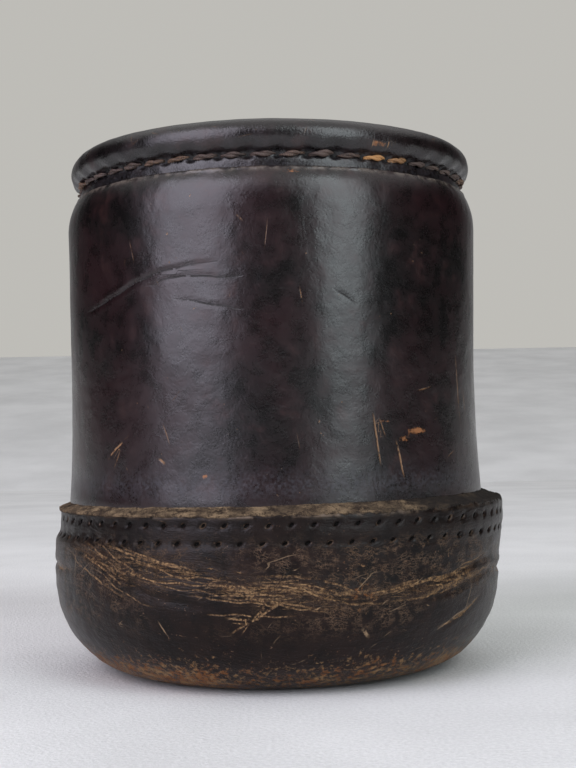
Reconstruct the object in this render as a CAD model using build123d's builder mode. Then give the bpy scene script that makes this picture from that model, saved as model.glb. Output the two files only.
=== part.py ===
from build123d import *
import os

# Leather dice cup, sewn by hand, standing on its flat bottom.
#
# The wall is two leather tubes, a thick outer sleeve round a thin lining. A leather strip folded
# over a cord makes the round bead at the mouth: its two margins hold the top of the lining between
# them, one row of stitches runs through all three layers, and the outer margin is tucked behind the
# top edge of the sleeve. A moulded cap is drawn over the foot of the sleeve and sewn to it with two
# rows of stitches. Inside, three lifts of sole leather fill the bowl of the cap, and a floor disc
# with a thin facing lies on them, where the dice land.
#
# Millimetres, +Z up, origin at the centre of the bottom face, the front at -Y. Every angle called a
# bearing is counted from the front, towards +X.

FRONT = 270.0  # the front's angle in the XY plane, counted from +X

# --- Overall ---
HEIGHT = 88.0
GLUE = 0.05  # the glue line left between two layers
GLUE_CAPPED = 0.1  # the wider one where a round cord or a thread lies against leather

# --- Cap ---
CAP_R = 38.5
CAP_T = 2.6
CAP_FLAT_R = 24.0  # the flat that the cup stands on
CAP_CORNER_H = 16.0  # how far up the rounded corner reaches
CAP_EDGE_OUTER_Z = 27.8  # the cut edge slopes up to the sleeve
CAP_EDGE_INNER_Z = 29.3
CAP_INNER_R = CAP_R - CAP_T

# --- Wall ---
LINING_R = 31.0  # the clear radius inside
LINING_T = 1.5
LINING_OUTER_R = LINING_R + LINING_T
SLEEVE_INNER_R = LINING_OUTER_R + GLUE
SLEEVE_FOOT_R = CAP_INNER_R - GLUE
SLEEVE_T = SLEEVE_FOOT_R - SLEEVE_INNER_R
SLEEVE_WAIST = (35.25, 50.0)  # radius and height of the slight waist
SLEEVE_SHOULDER = (35.6, 74.3)  # where the shoulder starts to turn in
SLEEVE_LIP = (34.25, 80.0)
SLEEVE_TOP_Z = 80.5

# --- Rim binding and its cord ---
BEAD_R = 2.75  # half the thickness of the bead
BEAD_OUTER_R = 35.0
BINDING_T = 1.0
CORD_R = BEAD_R - BINDING_T - GLUE
BEAD_CENTRE = (BEAD_OUTER_R - BEAD_R, HEIGHT - BEAD_R)
OUTER_MARGIN_R = LINING_OUTER_R + GLUE + BINDING_T
INNER_MARGIN_R = LINING_R - GLUE - BINDING_T
OUTER_MARGIN_Z = 75.5  # how far down the outer margin is tucked
INNER_MARGIN_Z = 76.8
BEAD_ROOT_FILLET = 0.6  # where the bead turns into the outer margin
LINING_TOP_Z = BEAD_CENTRE[1] - CORD_R - GLUE_CAPPED
SKIVE_R = OUTER_MARGIN_R + GLUE  # the sleeve is thinned inside, to let the margin in

# --- Floor ---
LIFT_FIRST_Z = CAP_T + GLUE
WALL_FOOT_Z = 15.55  # the sleeve and the lining stand on the top lift
LIFT_PITCH = (WALL_FOOT_Z - LIFT_FIRST_Z) / 3
FLOOR_R = LINING_R - GLUE
FLOOR_DISC_T = 3.0
FACING_T = 1.1
FACING_Z = WALL_FOOT_Z + FLOOR_DISC_T + GLUE
FACING_EDGE_FILLET = 0.3

# --- Sewing ---
THREAD_R = 0.42
PIN_R = 0.38  # the thread where it passes through a hole
AWL_R = 0.45  # the holes
GROOVE_W = 1.0  # the grooves that the thread is pulled down into
GROOVE_DEPTH = 0.55
BASE_STITCHES = 72
LOWER_ROW = (23.7, 1.75)  # height, and the bearing of the first hole
UPPER_ROW = (26.4, 3.25)
RIM_STITCHES = 46
RIM_ROW = (82.3, 2.0)
BURIED_THREAD_R = LINING_OUTER_R + THREAD_R + GLUE  # the inner run of a thread under the lining

# --- Joints in the leather strips ---
STRIP_GAP = 0.2
SLEEVE_SEAM_BEARING = 180.0
LINING_SEAM_BEARING = 95.0
BINDING_SEAM_BEARING = 185.9
SEAM_STITCHES = 12
SEAM_FIRST_Z = 32.5
SEAM_PITCH = 3.5
SEAM_LAST_Z = SEAM_FIRST_Z + (SEAM_STITCHES - 1) * SEAM_PITCH
SEAM_HALF_WIDTH = 2.6
SEAM_RELIEF_W = 7.0  # the sleeve is thinned inside along the seam, so that the thread lies flush
SEAM_RELIEF_T = 1.1


def awl_holes(row, count, inner_r, outer_r):
    """Cuts one row of round radial holes into the part being built."""
    height, first_bearing = row
    with Locations((0, 0, height)):
        with PolarLocations((inner_r + outer_r) / 2, count, start_angle=FRONT + first_bearing):
            Cylinder(AWL_R, outer_r - inner_r, rotation=(0, 90, 0), mode=Mode.SUBTRACT)


def butt_joint(bearing, inner_r, outer_r, top_z):
    """Parts a ring of leather where the two ends of its strip meet."""
    with PolarLocations((inner_r + outer_r) / 2, 1, start_angle=FRONT + bearing):
        Box(outer_r - inner_r + 1, STRIP_GAP, 2 * top_z, mode=Mode.SUBTRACT)


def saddle_stitch(inner_r, outer_r, count):
    """One stitch of a round row: a length outside, a length inside and the crossing between them."""
    turn = 360 / count
    with BuildPart(mode=Mode.PRIVATE) as stitch:
        for radius in (outer_r, inner_r):
            start = Vector(radius, 0, 0)
            run = start.rotate(Axis.Z, turn) - start
            with Locations(Plane(start + run / 2, z_dir=run)):
                Cylinder(THREAD_R, run.length)
            with Locations(start):
                Sphere(THREAD_R)
        with Locations(((inner_r + outer_r) / 2, 0, 0)):
            Cylinder(PIN_R, outer_r - inner_r, rotation=(0, 90, 0))
    return stitch.part


def round_row(row, count, stitch):
    """Sews one row: the same stitch, hole after hole, right round."""
    height, first_bearing = row
    with Locations((0, 0, height)):
        with PolarLocations(0, count, start_angle=FRONT + first_bearing):
            add(stitch)


def sleeve_radius(height):
    """The outer radius of the sleeve, as straight runs from the cap to the waist and the shoulder."""
    waist_r, waist_z = SLEEVE_WAIST
    if height < waist_z:
        share = (waist_z - height) / (waist_z - CAP_EDGE_INNER_Z)
        return waist_r + share * (SLEEVE_FOOT_R - waist_r)
    share = (height - waist_z) / (SLEEVE_SHOULDER[1] - waist_z)
    return waist_r + share * (SLEEVE_SHOULDER[0] - waist_r)


def seam_course():
    """The corners of the seam's thread: straight across outside, slanting up to the next inside."""
    corners = []
    for i in range(SEAM_STITCHES):
        height = SEAM_FIRST_Z + i * SEAM_PITCH
        outer_y = sleeve_radius(height)
        corners.append((-SEAM_HALF_WIDTH, BURIED_THREAD_R, height))
        corners.append((-SEAM_HALF_WIDTH, outer_y, height))
        corners.append((SEAM_HALF_WIDTH, outer_y, height))
        corners.append((SEAM_HALF_WIDTH, BURIED_THREAD_R, height))
    return corners


def lift(level):
    """One filling disc, its side following the bowl of the cap."""
    low_z = LIFT_FIRST_Z + level * LIFT_PITCH
    middle_z = low_z + (LIFT_PITCH - GLUE) / 2
    with BuildSketch(Plane.XZ) as section:
        with BuildLine():
            Line((0, LIFT_FIRST_Z), (CAP_FLAT_R, LIFT_FIRST_Z))
            EllipticalCenterArc(
                (CAP_FLAT_R, CAP_CORNER_H),
                CAP_INNER_R - GLUE - CAP_FLAT_R,
                CAP_CORNER_H - LIFT_FIRST_Z,
                270,
                arc_size=90,
            )
            Polyline((SLEEVE_FOOT_R, CAP_CORNER_H), (0, CAP_CORNER_H), (0, LIFT_FIRST_Z))
        make_face()
        with Locations((CAP_R / 2, middle_z)):
            Rectangle(CAP_R, LIFT_PITCH - GLUE, mode=Mode.INTERSECT)
    revolve(section.sketch, axis=Axis.Z)


# --- Cap ---
with BuildPart() as base_cap:
    with BuildSketch(Plane.XZ):
        corner = (CAP_FLAT_R, CAP_CORNER_H)
        with BuildLine():
            Line((0, 0), (CAP_FLAT_R, 0))
            EllipticalCenterArc(corner, CAP_R - CAP_FLAT_R, CAP_CORNER_H, 270, arc_size=90)
            Polyline(
                (CAP_R, CAP_CORNER_H),
                (CAP_R, CAP_EDGE_OUTER_Z),
                (CAP_INNER_R, CAP_EDGE_INNER_Z),
                (CAP_INNER_R, CAP_CORNER_H),
            )
            EllipticalCenterArc(
                corner, CAP_INNER_R - CAP_FLAT_R, CAP_CORNER_H - CAP_T, 270, arc_size=90
            )
            Polyline((CAP_FLAT_R, CAP_T), (0, CAP_T), (0, 0))
        make_face()
        with Locations((CAP_R, LOWER_ROW[0]), (CAP_R, UPPER_ROW[0])):
            Rectangle(2 * GROOVE_DEPTH, GROOVE_W, mode=Mode.SUBTRACT)
    revolve(axis=Axis.Z)
    for row in (LOWER_ROW, UPPER_ROW):
        awl_holes(row, BASE_STITCHES, CAP_INNER_R - 1, CAP_R + 1)

# --- Sleeve, thinned inside at the top for the binding's margin ---
with BuildPart() as body_sleeve:
    with BuildSketch(Plane.XZ):
        with BuildLine():
            Polyline(
                (SLEEVE_INNER_R, WALL_FOOT_Z),
                (SLEEVE_FOOT_R, WALL_FOOT_Z),
                (SLEEVE_FOOT_R, CAP_EDGE_INNER_Z),
            )
            Spline(
                (SLEEVE_FOOT_R, CAP_EDGE_INNER_Z),
                SLEEVE_WAIST,
                SLEEVE_SHOULDER,
                SLEEVE_LIP,
                tangents=((0, 1), (-1, 1)),
            )
            Polyline(
                SLEEVE_LIP,
                (SKIVE_R, SLEEVE_TOP_Z),
                (SKIVE_R, OUTER_MARGIN_Z - GLUE),
                (SLEEVE_INNER_R, OUTER_MARGIN_Z - GLUE - 1),
                (SLEEVE_INNER_R, WALL_FOOT_Z),
            )
        make_face()
        with Locations((SLEEVE_INNER_R, LOWER_ROW[0]), (SLEEVE_INNER_R, UPPER_ROW[0])):
            Rectangle(4 * THREAD_R + 4 * GLUE, GROOVE_W, mode=Mode.SUBTRACT)
    revolve(axis=Axis.Z)
    for row in (LOWER_ROW, UPPER_ROW):
        awl_holes(row, BASE_STITCHES, SLEEVE_INNER_R - 1, SLEEVE_FOOT_R + 1)
    butt_joint(SLEEVE_SEAM_BEARING, SLEEVE_INNER_R, SLEEVE_FOOT_R, SLEEVE_TOP_Z)
    with Locations((0, SLEEVE_INNER_R, (SEAM_FIRST_Z + SEAM_LAST_Z) / 2)):
        Box(SEAM_RELIEF_W, 2 * SEAM_RELIEF_T, SEAM_LAST_Z - SEAM_FIRST_Z + 3, mode=Mode.SUBTRACT)
    for _, outer_y, height in seam_course()[1::4]:
        with Locations((-SEAM_HALF_WIDTH, outer_y, height), (SEAM_HALF_WIDTH, outer_y, height)):
            Cylinder(AWL_R, 2 * SLEEVE_T, rotation=(90, 0, 0), mode=Mode.SUBTRACT)
        with Locations((0, outer_y, height)):
            Box(2 * SEAM_HALF_WIDTH, 2 * GROOVE_DEPTH, GROOVE_W, mode=Mode.SUBTRACT)

with BuildPart() as body_seam_thread:
    corners = seam_course()
    for start, end in zip(corners, corners[1:]):
        run = Vector(*end) - Vector(*start)
        middle = (Vector(*end) + Vector(*start)) / 2
        with Locations(Plane(middle, z_dir=run)):
            Cylinder(THREAD_R, run.length)
    with Locations(corners):
        Sphere(THREAD_R)

# --- Lining ---
with BuildPart() as inner_lining:
    with BuildSketch(Plane.XY.offset(WALL_FOOT_Z)):
        Circle(LINING_OUTER_R)
        Circle(LINING_R, mode=Mode.SUBTRACT)
    extrude(amount=LINING_TOP_Z - WALL_FOOT_Z)
    awl_holes(RIM_ROW, RIM_STITCHES, LINING_R - 1, LINING_OUTER_R + 1)
    butt_joint(LINING_SEAM_BEARING, LINING_R, LINING_OUTER_R, LINING_TOP_Z)

# --- Rim ---
with BuildPart() as rim_binding:
    with BuildSketch(Plane.XZ) as binding_section:
        bead_r, bead_z = BEAD_CENTRE
        outer_top = bead_z - BEAD_R * 0.5
        with Locations(BEAD_CENTRE):
            Circle(BEAD_R)
        with Locations((OUTER_MARGIN_R, OUTER_MARGIN_Z)):
            Rectangle(BINDING_T, outer_top - OUTER_MARGIN_Z, align=(Align.MAX, Align.MIN))
        with Locations((INNER_MARGIN_R, INNER_MARGIN_Z)):
            Rectangle(BINDING_T, bead_z - INNER_MARGIN_Z, align=(Align.MIN, Align.MIN))
        with Locations(BEAD_CENTRE):
            Circle(CORD_R + GLUE, mode=Mode.SUBTRACT)
        with Locations((LINING_R - GLUE, OUTER_MARGIN_Z)):
            Rectangle(
                LINING_T + 2 * GLUE,
                bead_z - CORD_R / 2 - OUTER_MARGIN_Z,
                align=(Align.MIN, Align.MIN),
                mode=Mode.SUBTRACT,
            )
        with Locations((OUTER_MARGIN_R, RIM_ROW[0]), (INNER_MARGIN_R, RIM_ROW[0])):
            Rectangle(2 * GROOVE_DEPTH, GROOVE_W, mode=Mode.SUBTRACT)
    revolve(axis=Axis.Z)
    awl_holes(RIM_ROW, RIM_STITCHES, INNER_MARGIN_R - 1, OUTER_MARGIN_R + 1)
    butt_joint(BINDING_SEAM_BEARING, INNER_MARGIN_R - 1, BEAD_OUTER_R, HEIGHT)

with BuildPart() as rim_core_cord:
    with Locations((0, 0, BEAD_CENTRE[1])):
        Torus(BEAD_CENTRE[0], CORD_R)

with BuildPart() as rim_thread:
    round_row(RIM_ROW, RIM_STITCHES, saddle_stitch(INNER_MARGIN_R, OUTER_MARGIN_R, RIM_STITCHES))

# --- Base stitching ---
base_stitch = saddle_stitch(BURIED_THREAD_R, CAP_R, BASE_STITCHES)

with BuildPart() as base_thread_upper:
    round_row(UPPER_ROW, BASE_STITCHES, base_stitch)

with BuildPart() as base_thread_lower:
    round_row(LOWER_ROW, BASE_STITCHES, base_stitch)

# --- Lifts and floor ---
with BuildPart() as bottom_lift_lower:
    lift(0)

with BuildPart() as bottom_lift_middle:
    lift(1)

with BuildPart() as bottom_lift_upper:
    lift(2)

with BuildPart() as floor_disc:
    with BuildSketch(Plane.XY.offset(WALL_FOOT_Z)):
        Circle(FLOOR_R)
    extrude(amount=FLOOR_DISC_T)

with BuildPart() as floor_facing:
    with BuildSketch(Plane.XY.offset(FACING_Z)):
        Circle(FLOOR_R)
    extrude(amount=FACING_T)
    top_face = floor_facing.faces().sort_by(Axis.Z)[-1]
    fillet(top_face.edges(), FACING_EDGE_FILLET)

base_cap.part.label = "base_cap"
body_sleeve.part.label = "body_sleeve"
body_seam_thread.part.label = "body_seam_thread"
inner_lining.part.label = "inner_lining"
rim_binding.part.label = "rim_binding"
rim_core_cord.part.label = "rim_core_cord"
rim_thread.part.label = "rim_thread"
base_thread_upper.part.label = "base_thread_upper"
base_thread_lower.part.label = "base_thread_lower"
bottom_lift_lower.part.label = "bottom_lift_lower"
bottom_lift_middle.part.label = "bottom_lift_middle"
bottom_lift_upper.part.label = "bottom_lift_upper"
floor_disc.part.label = "floor_disc"
floor_facing.part.label = "floor_facing"

os.makedirs("parts", exist_ok=True)
export_step(base_cap.part, "parts/base_cap.step")
export_step(body_sleeve.part, "parts/body_sleeve.step")
export_step(body_seam_thread.part, "parts/body_seam_thread.step")
export_step(inner_lining.part, "parts/inner_lining.step")
export_step(rim_binding.part, "parts/rim_binding.step")
export_step(rim_core_cord.part, "parts/rim_core_cord.step")
export_step(rim_thread.part, "parts/rim_thread.step")
export_step(base_thread_upper.part, "parts/base_thread_upper.step")
export_step(base_thread_lower.part, "parts/base_thread_lower.step")
export_step(bottom_lift_lower.part, "parts/bottom_lift_lower.step")
export_step(bottom_lift_middle.part, "parts/bottom_lift_middle.step")
export_step(bottom_lift_upper.part, "parts/bottom_lift_upper.step")
export_step(floor_disc.part, "parts/floor_disc.step")
export_step(floor_facing.part, "parts/floor_facing.step")
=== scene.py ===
import math

import bmesh
import bpy
import numpy as np
from mathutils import Matrix, Vector


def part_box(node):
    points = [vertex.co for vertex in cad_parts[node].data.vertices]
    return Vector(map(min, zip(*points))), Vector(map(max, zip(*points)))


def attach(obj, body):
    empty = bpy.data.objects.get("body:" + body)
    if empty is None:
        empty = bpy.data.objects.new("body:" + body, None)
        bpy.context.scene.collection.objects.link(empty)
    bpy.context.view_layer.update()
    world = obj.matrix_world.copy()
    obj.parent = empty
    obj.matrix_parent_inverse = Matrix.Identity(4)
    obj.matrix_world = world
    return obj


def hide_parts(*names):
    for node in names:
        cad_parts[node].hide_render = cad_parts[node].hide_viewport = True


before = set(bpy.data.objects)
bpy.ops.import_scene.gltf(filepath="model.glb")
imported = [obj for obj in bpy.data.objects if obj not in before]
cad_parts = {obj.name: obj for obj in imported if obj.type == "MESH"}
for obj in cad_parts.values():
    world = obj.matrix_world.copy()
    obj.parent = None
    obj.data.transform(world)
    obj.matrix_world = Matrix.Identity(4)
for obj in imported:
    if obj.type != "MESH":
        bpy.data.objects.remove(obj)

# A leather dice cup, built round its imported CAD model. The meshes are worked out in millimetres and
# written in metres. A bearing is an angle round the cup, in degrees, counted from the front (-Y)
# towards +X. Every skin is one closed mesh: a section in (radius, height), carried round the axis and
# then pushed in and out by creases, folds, dents and stitches. The same functions that push the skin
# write vertex attributes, which tell the material where it is creased, rubbed, scratched or cut.
# The last number of each noise call is its seed.

MM = 0.001
ONE_DEGREE = math.radians(1)
GLUE_GAP = 0.05
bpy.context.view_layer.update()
rng = np.random.default_rng(1897)


# ---------------------------------------------------------------- sizes, from the CAD model
def node_size(node):
    """The outer radius, the lowest and the highest point of a round node, in millimetres."""
    low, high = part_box(node)
    return high[0] / MM, low[2] / MM, high[2] / MM


CAP_R, _, CAP_TOP = node_size("base_cap")
CAP_T = 2.6
CAP_INNER_R = CAP_R - CAP_T
CAP_FLAT_R = 24.0
CAP_CORNER_H = 16.0
CAP_EDGE_Z = CAP_TOP - 1.5

SLEEVE_FOOT_R, SLEEVE_LOW, SLEEVE_TOP = node_size("body_sleeve")
WAIST_R, WAIST_Z = SLEEVE_FOOT_R - 0.6, 50.0
SHOULDER_R, SHOULDER_Z = SLEEVE_FOOT_R - 0.25, SLEEVE_TOP - 6.2
LIP_R = SLEEVE_FOOT_R - 1.65

LINING_OUTER_R, LINING_LOW, LINING_TOP = node_size("inner_lining")
LINING_R = LINING_OUTER_R - 1.5

BEAD_OUTER_R, MARGIN_LOW, RIM_TOP = node_size("rim_binding")
BEAD_R = 2.75
BEAD = (BEAD_OUTER_R - BEAD_R, RIM_TOP - BEAD_R)
BINDING_T = 1.0
MARGIN_R = LINING_OUTER_R + GLUE_GAP + BINDING_T
INNER_MARGIN_R = LINING_R - GLUE_GAP - BINDING_T
INNER_MARGIN_LOW = MARGIN_LOW + 1.3

FACING_R, FACING_LOW, FACING_TOP = node_size("floor_facing")

_, UPPER_LOW, UPPER_HIGH = node_size("base_thread_upper")
_, LOWER_LOW, LOWER_HIGH = node_size("base_thread_lower")
_, RIM_ROW_LOW, RIM_ROW_HIGH = node_size("rim_thread")
UPPER_Z = (UPPER_LOW + UPPER_HIGH) / 2
LOWER_Z = (LOWER_LOW + LOWER_HIGH) / 2
RIM_ROW_Z = (RIM_ROW_LOW + RIM_ROW_HIGH) / 2
BASE_STITCHES, UPPER_FIRST, LOWER_FIRST = 72, 3.25, 1.75
RIM_STITCHES, RIM_FIRST = 46, 2.0
BASE_PITCH = 360 / BASE_STITCHES
RIM_PITCH = 360 / RIM_STITCHES
SEAM_STITCHES = 12
SEAM_HALF_WIDTH = 2.6
_, SEAM_LOW, SEAM_HIGH = node_size("body_seam_thread")
SEAM_THREAD_R = 0.42
SEAM_FIRST = SEAM_LOW + SEAM_THREAD_R
SEAM_PITCH = (SEAM_HIGH - SEAM_LOW - 2 * SEAM_THREAD_R) / (SEAM_STITCHES - 1)
SLEEVE_SEAM, LINING_SEAM, BINDING_SEAM = 180, 95, 185.9


# ---------------------------------------------------------------- smooth noise, worked on arrays
def lattice(cell, seed):
    """A repeatable random number from 0 to 1 for each whole-number cell."""
    h = cell[0] * 374761393 + cell[1] * 668265263 + cell[2] * 1442695041 + seed * 974634777
    h = (h ^ (h >> 13)) * 1274126177 & 0x7FFFFFFFFFFF
    h = h ^ (h >> 16)
    return (h & 0xFFFFFF) / 0xFFFFFF


def noise(x, y, z, seed):
    """Smooth value noise from -1 to 1."""
    p = np.stack(np.broadcast_arrays(x, y, z)).astype(float)
    whole = np.floor(p).astype(np.int64)
    f = p - whole
    f = f * f * (3 - 2 * f)
    total = 0.0
    for i in (0, 1):
        wx = f[0] if i else 1 - f[0]
        for j in (0, 1):
            wy = f[1] if j else 1 - f[1]
            for k in (0, 1):
                wz = f[2] if k else 1 - f[2]
                corner = lattice((whole[0] + i, whole[1] + j, whole[2] + k), seed)
                total = total + wx * wy * wz * corner
    return 2 * total - 1


def fbm(x, y, z, octaves, seed):
    """Noise with finer and finer detail added."""
    total, size, reach = 0.0, 1.0, 0.0
    for octave in range(octaves):
        scale = 2.03**octave
        total = total + size * noise(x * scale, y * scale, z * scale, seed + octave)
        reach += size
        size *= 0.5
    return total / reach


def smoothstep(low, high, x):
    t = np.clip((x - low) / (high - low), 0, 1)
    return t * t * (3 - 2 * t)


def hump(x, half_width):
    return np.exp(-((x / half_width) ** 2))


def oval(u, v, half_length, half_height):
    """A soft oval, 1 in the middle."""
    return np.exp(-((u / half_length) ** 2) - (v / half_height) ** 2)


def turn_gap(bearing, other):
    """The signed angle from other to bearing, from -180 to 180."""
    return (bearing - other + 180) % 360 - 180


def mm_from(bearing, other, radius):
    """How far bearing lies from other round a radius, in millimetres."""
    return turn_gap(bearing, other) * ONE_DEGREE * radius


def along_row(bearing, first, pitch, radius):
    """Where a bearing lies along a row of stitches: in stitches, and in millimetres from a hole."""
    step = (bearing - first) / pitch
    return step, (step - np.round(step)) * pitch * ONE_DEGREE * radius


def round_curve(bearing, knots):
    """A smooth curve right round the cup through (bearing, value) knots."""
    knots = sorted(knots)
    at = np.array([b for b, _ in knots] + [knots[0][0] + 360], float)
    values = np.array([v for _, v in knots] + [knots[0][1]], float)
    b = (bearing - at[0]) % 360 + at[0]
    i = np.clip(np.searchsorted(at, b, side="right") - 1, 0, len(at) - 2)
    t = (b - at[i]) / (at[i + 1] - at[i])
    t = t * t * (3 - 2 * t)
    return values[i] + (values[i + 1] - values[i]) * t


# ---------------------------------------------------------------- sections
def line(start, end, step):
    """Points along a straight stretch of a section, without its last point."""
    start, end = np.array(start, float), np.array(end, float)
    count = max(1, round(float(np.linalg.norm(end - start)) / step))
    return [start + (end - start) * i / count for i in range(count)]


def arc(centre, rx, rz, first, last, step):
    """Points along an elliptical stretch, from one angle to another, without its last point."""
    length = abs(math.radians(last - first)) * (rx + rz) / 2
    count = max(2, round(length / step))
    angles = [math.radians(first + (last - first) * i / count) for i in range(count)]
    return [np.array((centre[0] + rx * math.cos(a), centre[1] + rz * math.sin(a))) for a in angles]


class Skin:
    """A closed section carried round the axis, as arrays of one value for each vertex."""

    def __init__(self, section, columns, first_bearing=0.0):
        self.section = np.array(section)
        self.rows, self.columns = len(section), columns
        ahead, behind = np.roll(self.section, -1, 0), np.roll(self.section, 1, 0)
        along = ahead - behind
        along /= np.linalg.norm(along, axis=1)[:, None]
        shape = (self.rows, columns)
        spread = np.ones(columns)
        self.r = self.section[:, 0][:, None] * spread
        self.z = self.section[:, 1][:, None] * spread
        self.nr = along[:, 1][:, None] * spread
        self.nz = -along[:, 0][:, None] * spread
        turn = first_bearing + 360 * np.arange(columns) / columns
        self.bearing = np.ones(shape) * turn[None, :]
        a = np.radians(self.bearing)
        self.sin, self.cos = np.sin(a), -np.cos(a)
        self.x, self.y = self.r * self.sin, self.r * self.cos
        self.out = np.zeros(shape)
        self.marks = {}

    def push(self, amount):
        """Moves the skin out along its own normal."""
        self.out = self.out + amount

    def noise(self, size, octaves, seed, squash=1.0):
        """Noise in space whose features are about size millimetres across."""
        return fbm(self.x / size, self.y / size, self.z * squash / size, octaves, seed)

    def points(self):
        r, z = self.r + self.nr * self.out, self.z + self.nz * self.out
        return np.stack((r * self.sin, r * self.cos, z), axis=-1).reshape(-1, 3)

    def quads(self):
        """Faces between neighbouring rows and columns, closed both ways."""
        wide = self.columns
        i, j = np.meshgrid(np.arange(self.rows), np.arange(wide), indexing="ij")
        up, on = (i + 1) % self.rows, (j + 1) % wide
        corners = (i * wide + j, i * wide + on, up * wide + on, up * wide + j)
        return np.stack(corners, axis=-1).reshape(-1, 4)


def add_object(name, data):
    made = bpy.data.objects.new(name, data)
    bpy.context.scene.collection.objects.link(made)
    return made


def add_mark(mesh, mark, values):
    """Writes one value for each vertex as a float attribute, for the materials to read."""
    layer = mesh.attributes.new(mark, "FLOAT", "POINT")
    layer.data.foreach_set("value", np.asarray(values, dtype=np.float32).ravel())


def make_mesh(name, points, faces, marks):
    """A smooth-shaded object from arrays of points in millimetres and faces of equal size."""
    mesh = bpy.data.meshes.new(name)
    count, sides = faces.shape
    mesh.vertices.add(len(points))
    mesh.vertices.foreach_set("co", (points * MM).astype(np.float32).ravel())
    mesh.loops.add(count * sides)
    mesh.loops.foreach_set("vertex_index", faces.astype(np.int32).ravel())
    mesh.polygons.add(count)
    mesh.polygons.foreach_set("loop_start", np.arange(0, count * sides, sides, dtype=np.int32))
    mesh.polygons.foreach_set("use_smooth", np.ones(count, dtype=bool))
    mesh.update(calc_edges=True)
    mesh.validate()
    for mark, values in marks.items():
        add_mark(mesh, mark, values)
    return add_object(name, mesh)


def finish_skin(name, skin):
    """Writes a skin as an object. A row on the axis becomes a single point there."""
    piece = make_mesh(name, skin.points(), skin.quads(), skin.marks)
    if skin.section[:, 0].min() < 1e-6:
        bm = bmesh.new()
        bm.from_mesh(piece.data)
        poles = [v for v in bm.verts if v.co.x**2 + v.co.y**2 < (0.01 * MM) ** 2]
        bmesh.ops.remove_doubles(bm, verts=poles, dist=0.5 * MM)
        bm.to_mesh(piece.data)
        bm.free()
    return piece


# ---------------------------------------------------------------- scratches and creases
def wander(start, end, count, sway, seed):
    """A line from one (bearing, height) to another, as short lengths that sway."""
    t = np.linspace(0, 1, count + 1)
    drift = noise(np.arange(count + 1) * 0.7, seed * 1.37, 0.5, seed)
    bearing = start[0] + (end[0] - start[0]) * t
    height = start[1] + (end[1] - start[1]) * t + sway * drift * np.sin(math.pi * t)
    return list(zip(bearing, height))


# Written where no drawn line is near, in half widths of a line
FAR_ACROSS = 9.0


def line_marks(skin, radius, paths):
    """For each vertex, the signed distance to the nearest drawn line over its half width, and how
    strong that line is there. A distance stays true between vertices, so a line can be finer than
    the mesh. A path is (points, half width, strength)."""
    shape = skin.bearing.shape
    near = np.full(shape, np.inf)
    across, strength = np.full(shape, FAR_ACROSS), np.zeros(shape)
    per_degree = ONE_DEGREE * radius
    for points, half_width, power in paths:
        lengths, reach = len(points) - 1, max(0.9, 4 * half_width)
        for i in range(lengths):
            (b0, z0), (b1, z1) = points[i], points[i + 1]
            du, dz = (b1 - b0) * per_degree, z1 - z0
            size = math.hypot(du, dz)
            du, dz = du / size, dz / size
            span = abs(b1 - b0) / 2 + (reach + 1) / per_degree
            c = np.abs(turn_gap(skin.bearing[0], (b0 + b1) / 2)) < span
            u = turn_gap(skin.bearing[:, c], b0) * per_degree
            v = skin.z[:, c] - z0
            along = u * du + v * dz
            side = v * du - u * dz
            beyond = np.maximum(0, np.maximum(-along, along - size))
            t = (i + np.clip(along / size, 0, 1)) / lengths
            gap = np.abs(side) + 2 * beyond
            here = gap < near[:, c]
            near[:, c] = np.where(here, gap, near[:, c])
            fade = np.sqrt(np.clip(np.sin(math.pi * t), 0.02, 1)) * smoothstep(0.5, 0.1, beyond)
            fade = power * fade * smoothstep(reach, 0.55 * reach, gap)
            across[:, c] = np.where(here, side / half_width, across[:, c])
            strength[:, c] = np.where(here, fade, strength[:, c])
    return np.clip(across, -FAR_ACROSS, FAR_ACROSS), strength


def patch(skin, radius, bearing, height, half_length, half_height):
    """A soft oval on the skin, 1 in the middle."""
    return oval(mm_from(skin.bearing, bearing, radius), skin.z - height, half_length, half_height)


# ---------------------------------------------------------------- the outer sleeve
def sleeve_radius(z):
    """The sleeve's outer radius between the cap and the shoulder."""
    below = np.clip((WAIST_Z - z) / (WAIST_Z - CAP_TOP), 0, 1)
    above = np.clip((z - WAIST_Z) / (SHOULDER_Z - WAIST_Z), 0, 1)
    return WAIST_R + (SLEEVE_FOOT_R - WAIST_R) * below**2 + (SHOULDER_R - WAIST_R) * above**2


def sleeve_section():
    hidden_z, shoulder_rise, shoulder_steps = CAP_TOP - 1.2, 5.8, 18
    heights = np.arange(hidden_z, SHOULDER_Z, 0.43)
    points = line((SLEEVE_FOOT_R, SLEEVE_LOW), (SLEEVE_FOOT_R, hidden_z), 5)
    points += [np.array((float(sleeve_radius(z)), z)) for z in heights]
    for i in range(shoulder_steps):
        t = i / shoulder_steps
        r = SHOULDER_R - (SHOULDER_R - LIP_R) * t**2.4
        points.append(np.array((r, SHOULDER_Z + shoulder_rise * t)))
    points += arc((LIP_R - 0.35, SLEEVE_TOP - 0.4), 0.35, 0.4, 0, 180, 0.2)
    skive_r, bore_r = MARGIN_R + GLUE_GAP, LINING_OUTER_R + GLUE_GAP
    points += line((skive_r, SLEEVE_TOP - 0.6), (skive_r, MARGIN_LOW - 0.1), 2.5)
    points += line((bore_r, MARGIN_LOW - 1.2), (bore_r, SLEEVE_LOW), 12)
    points += line((bore_r, SLEEVE_LOW), (SLEEVE_FOOT_R, SLEEVE_LOW), 2)
    return points


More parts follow.
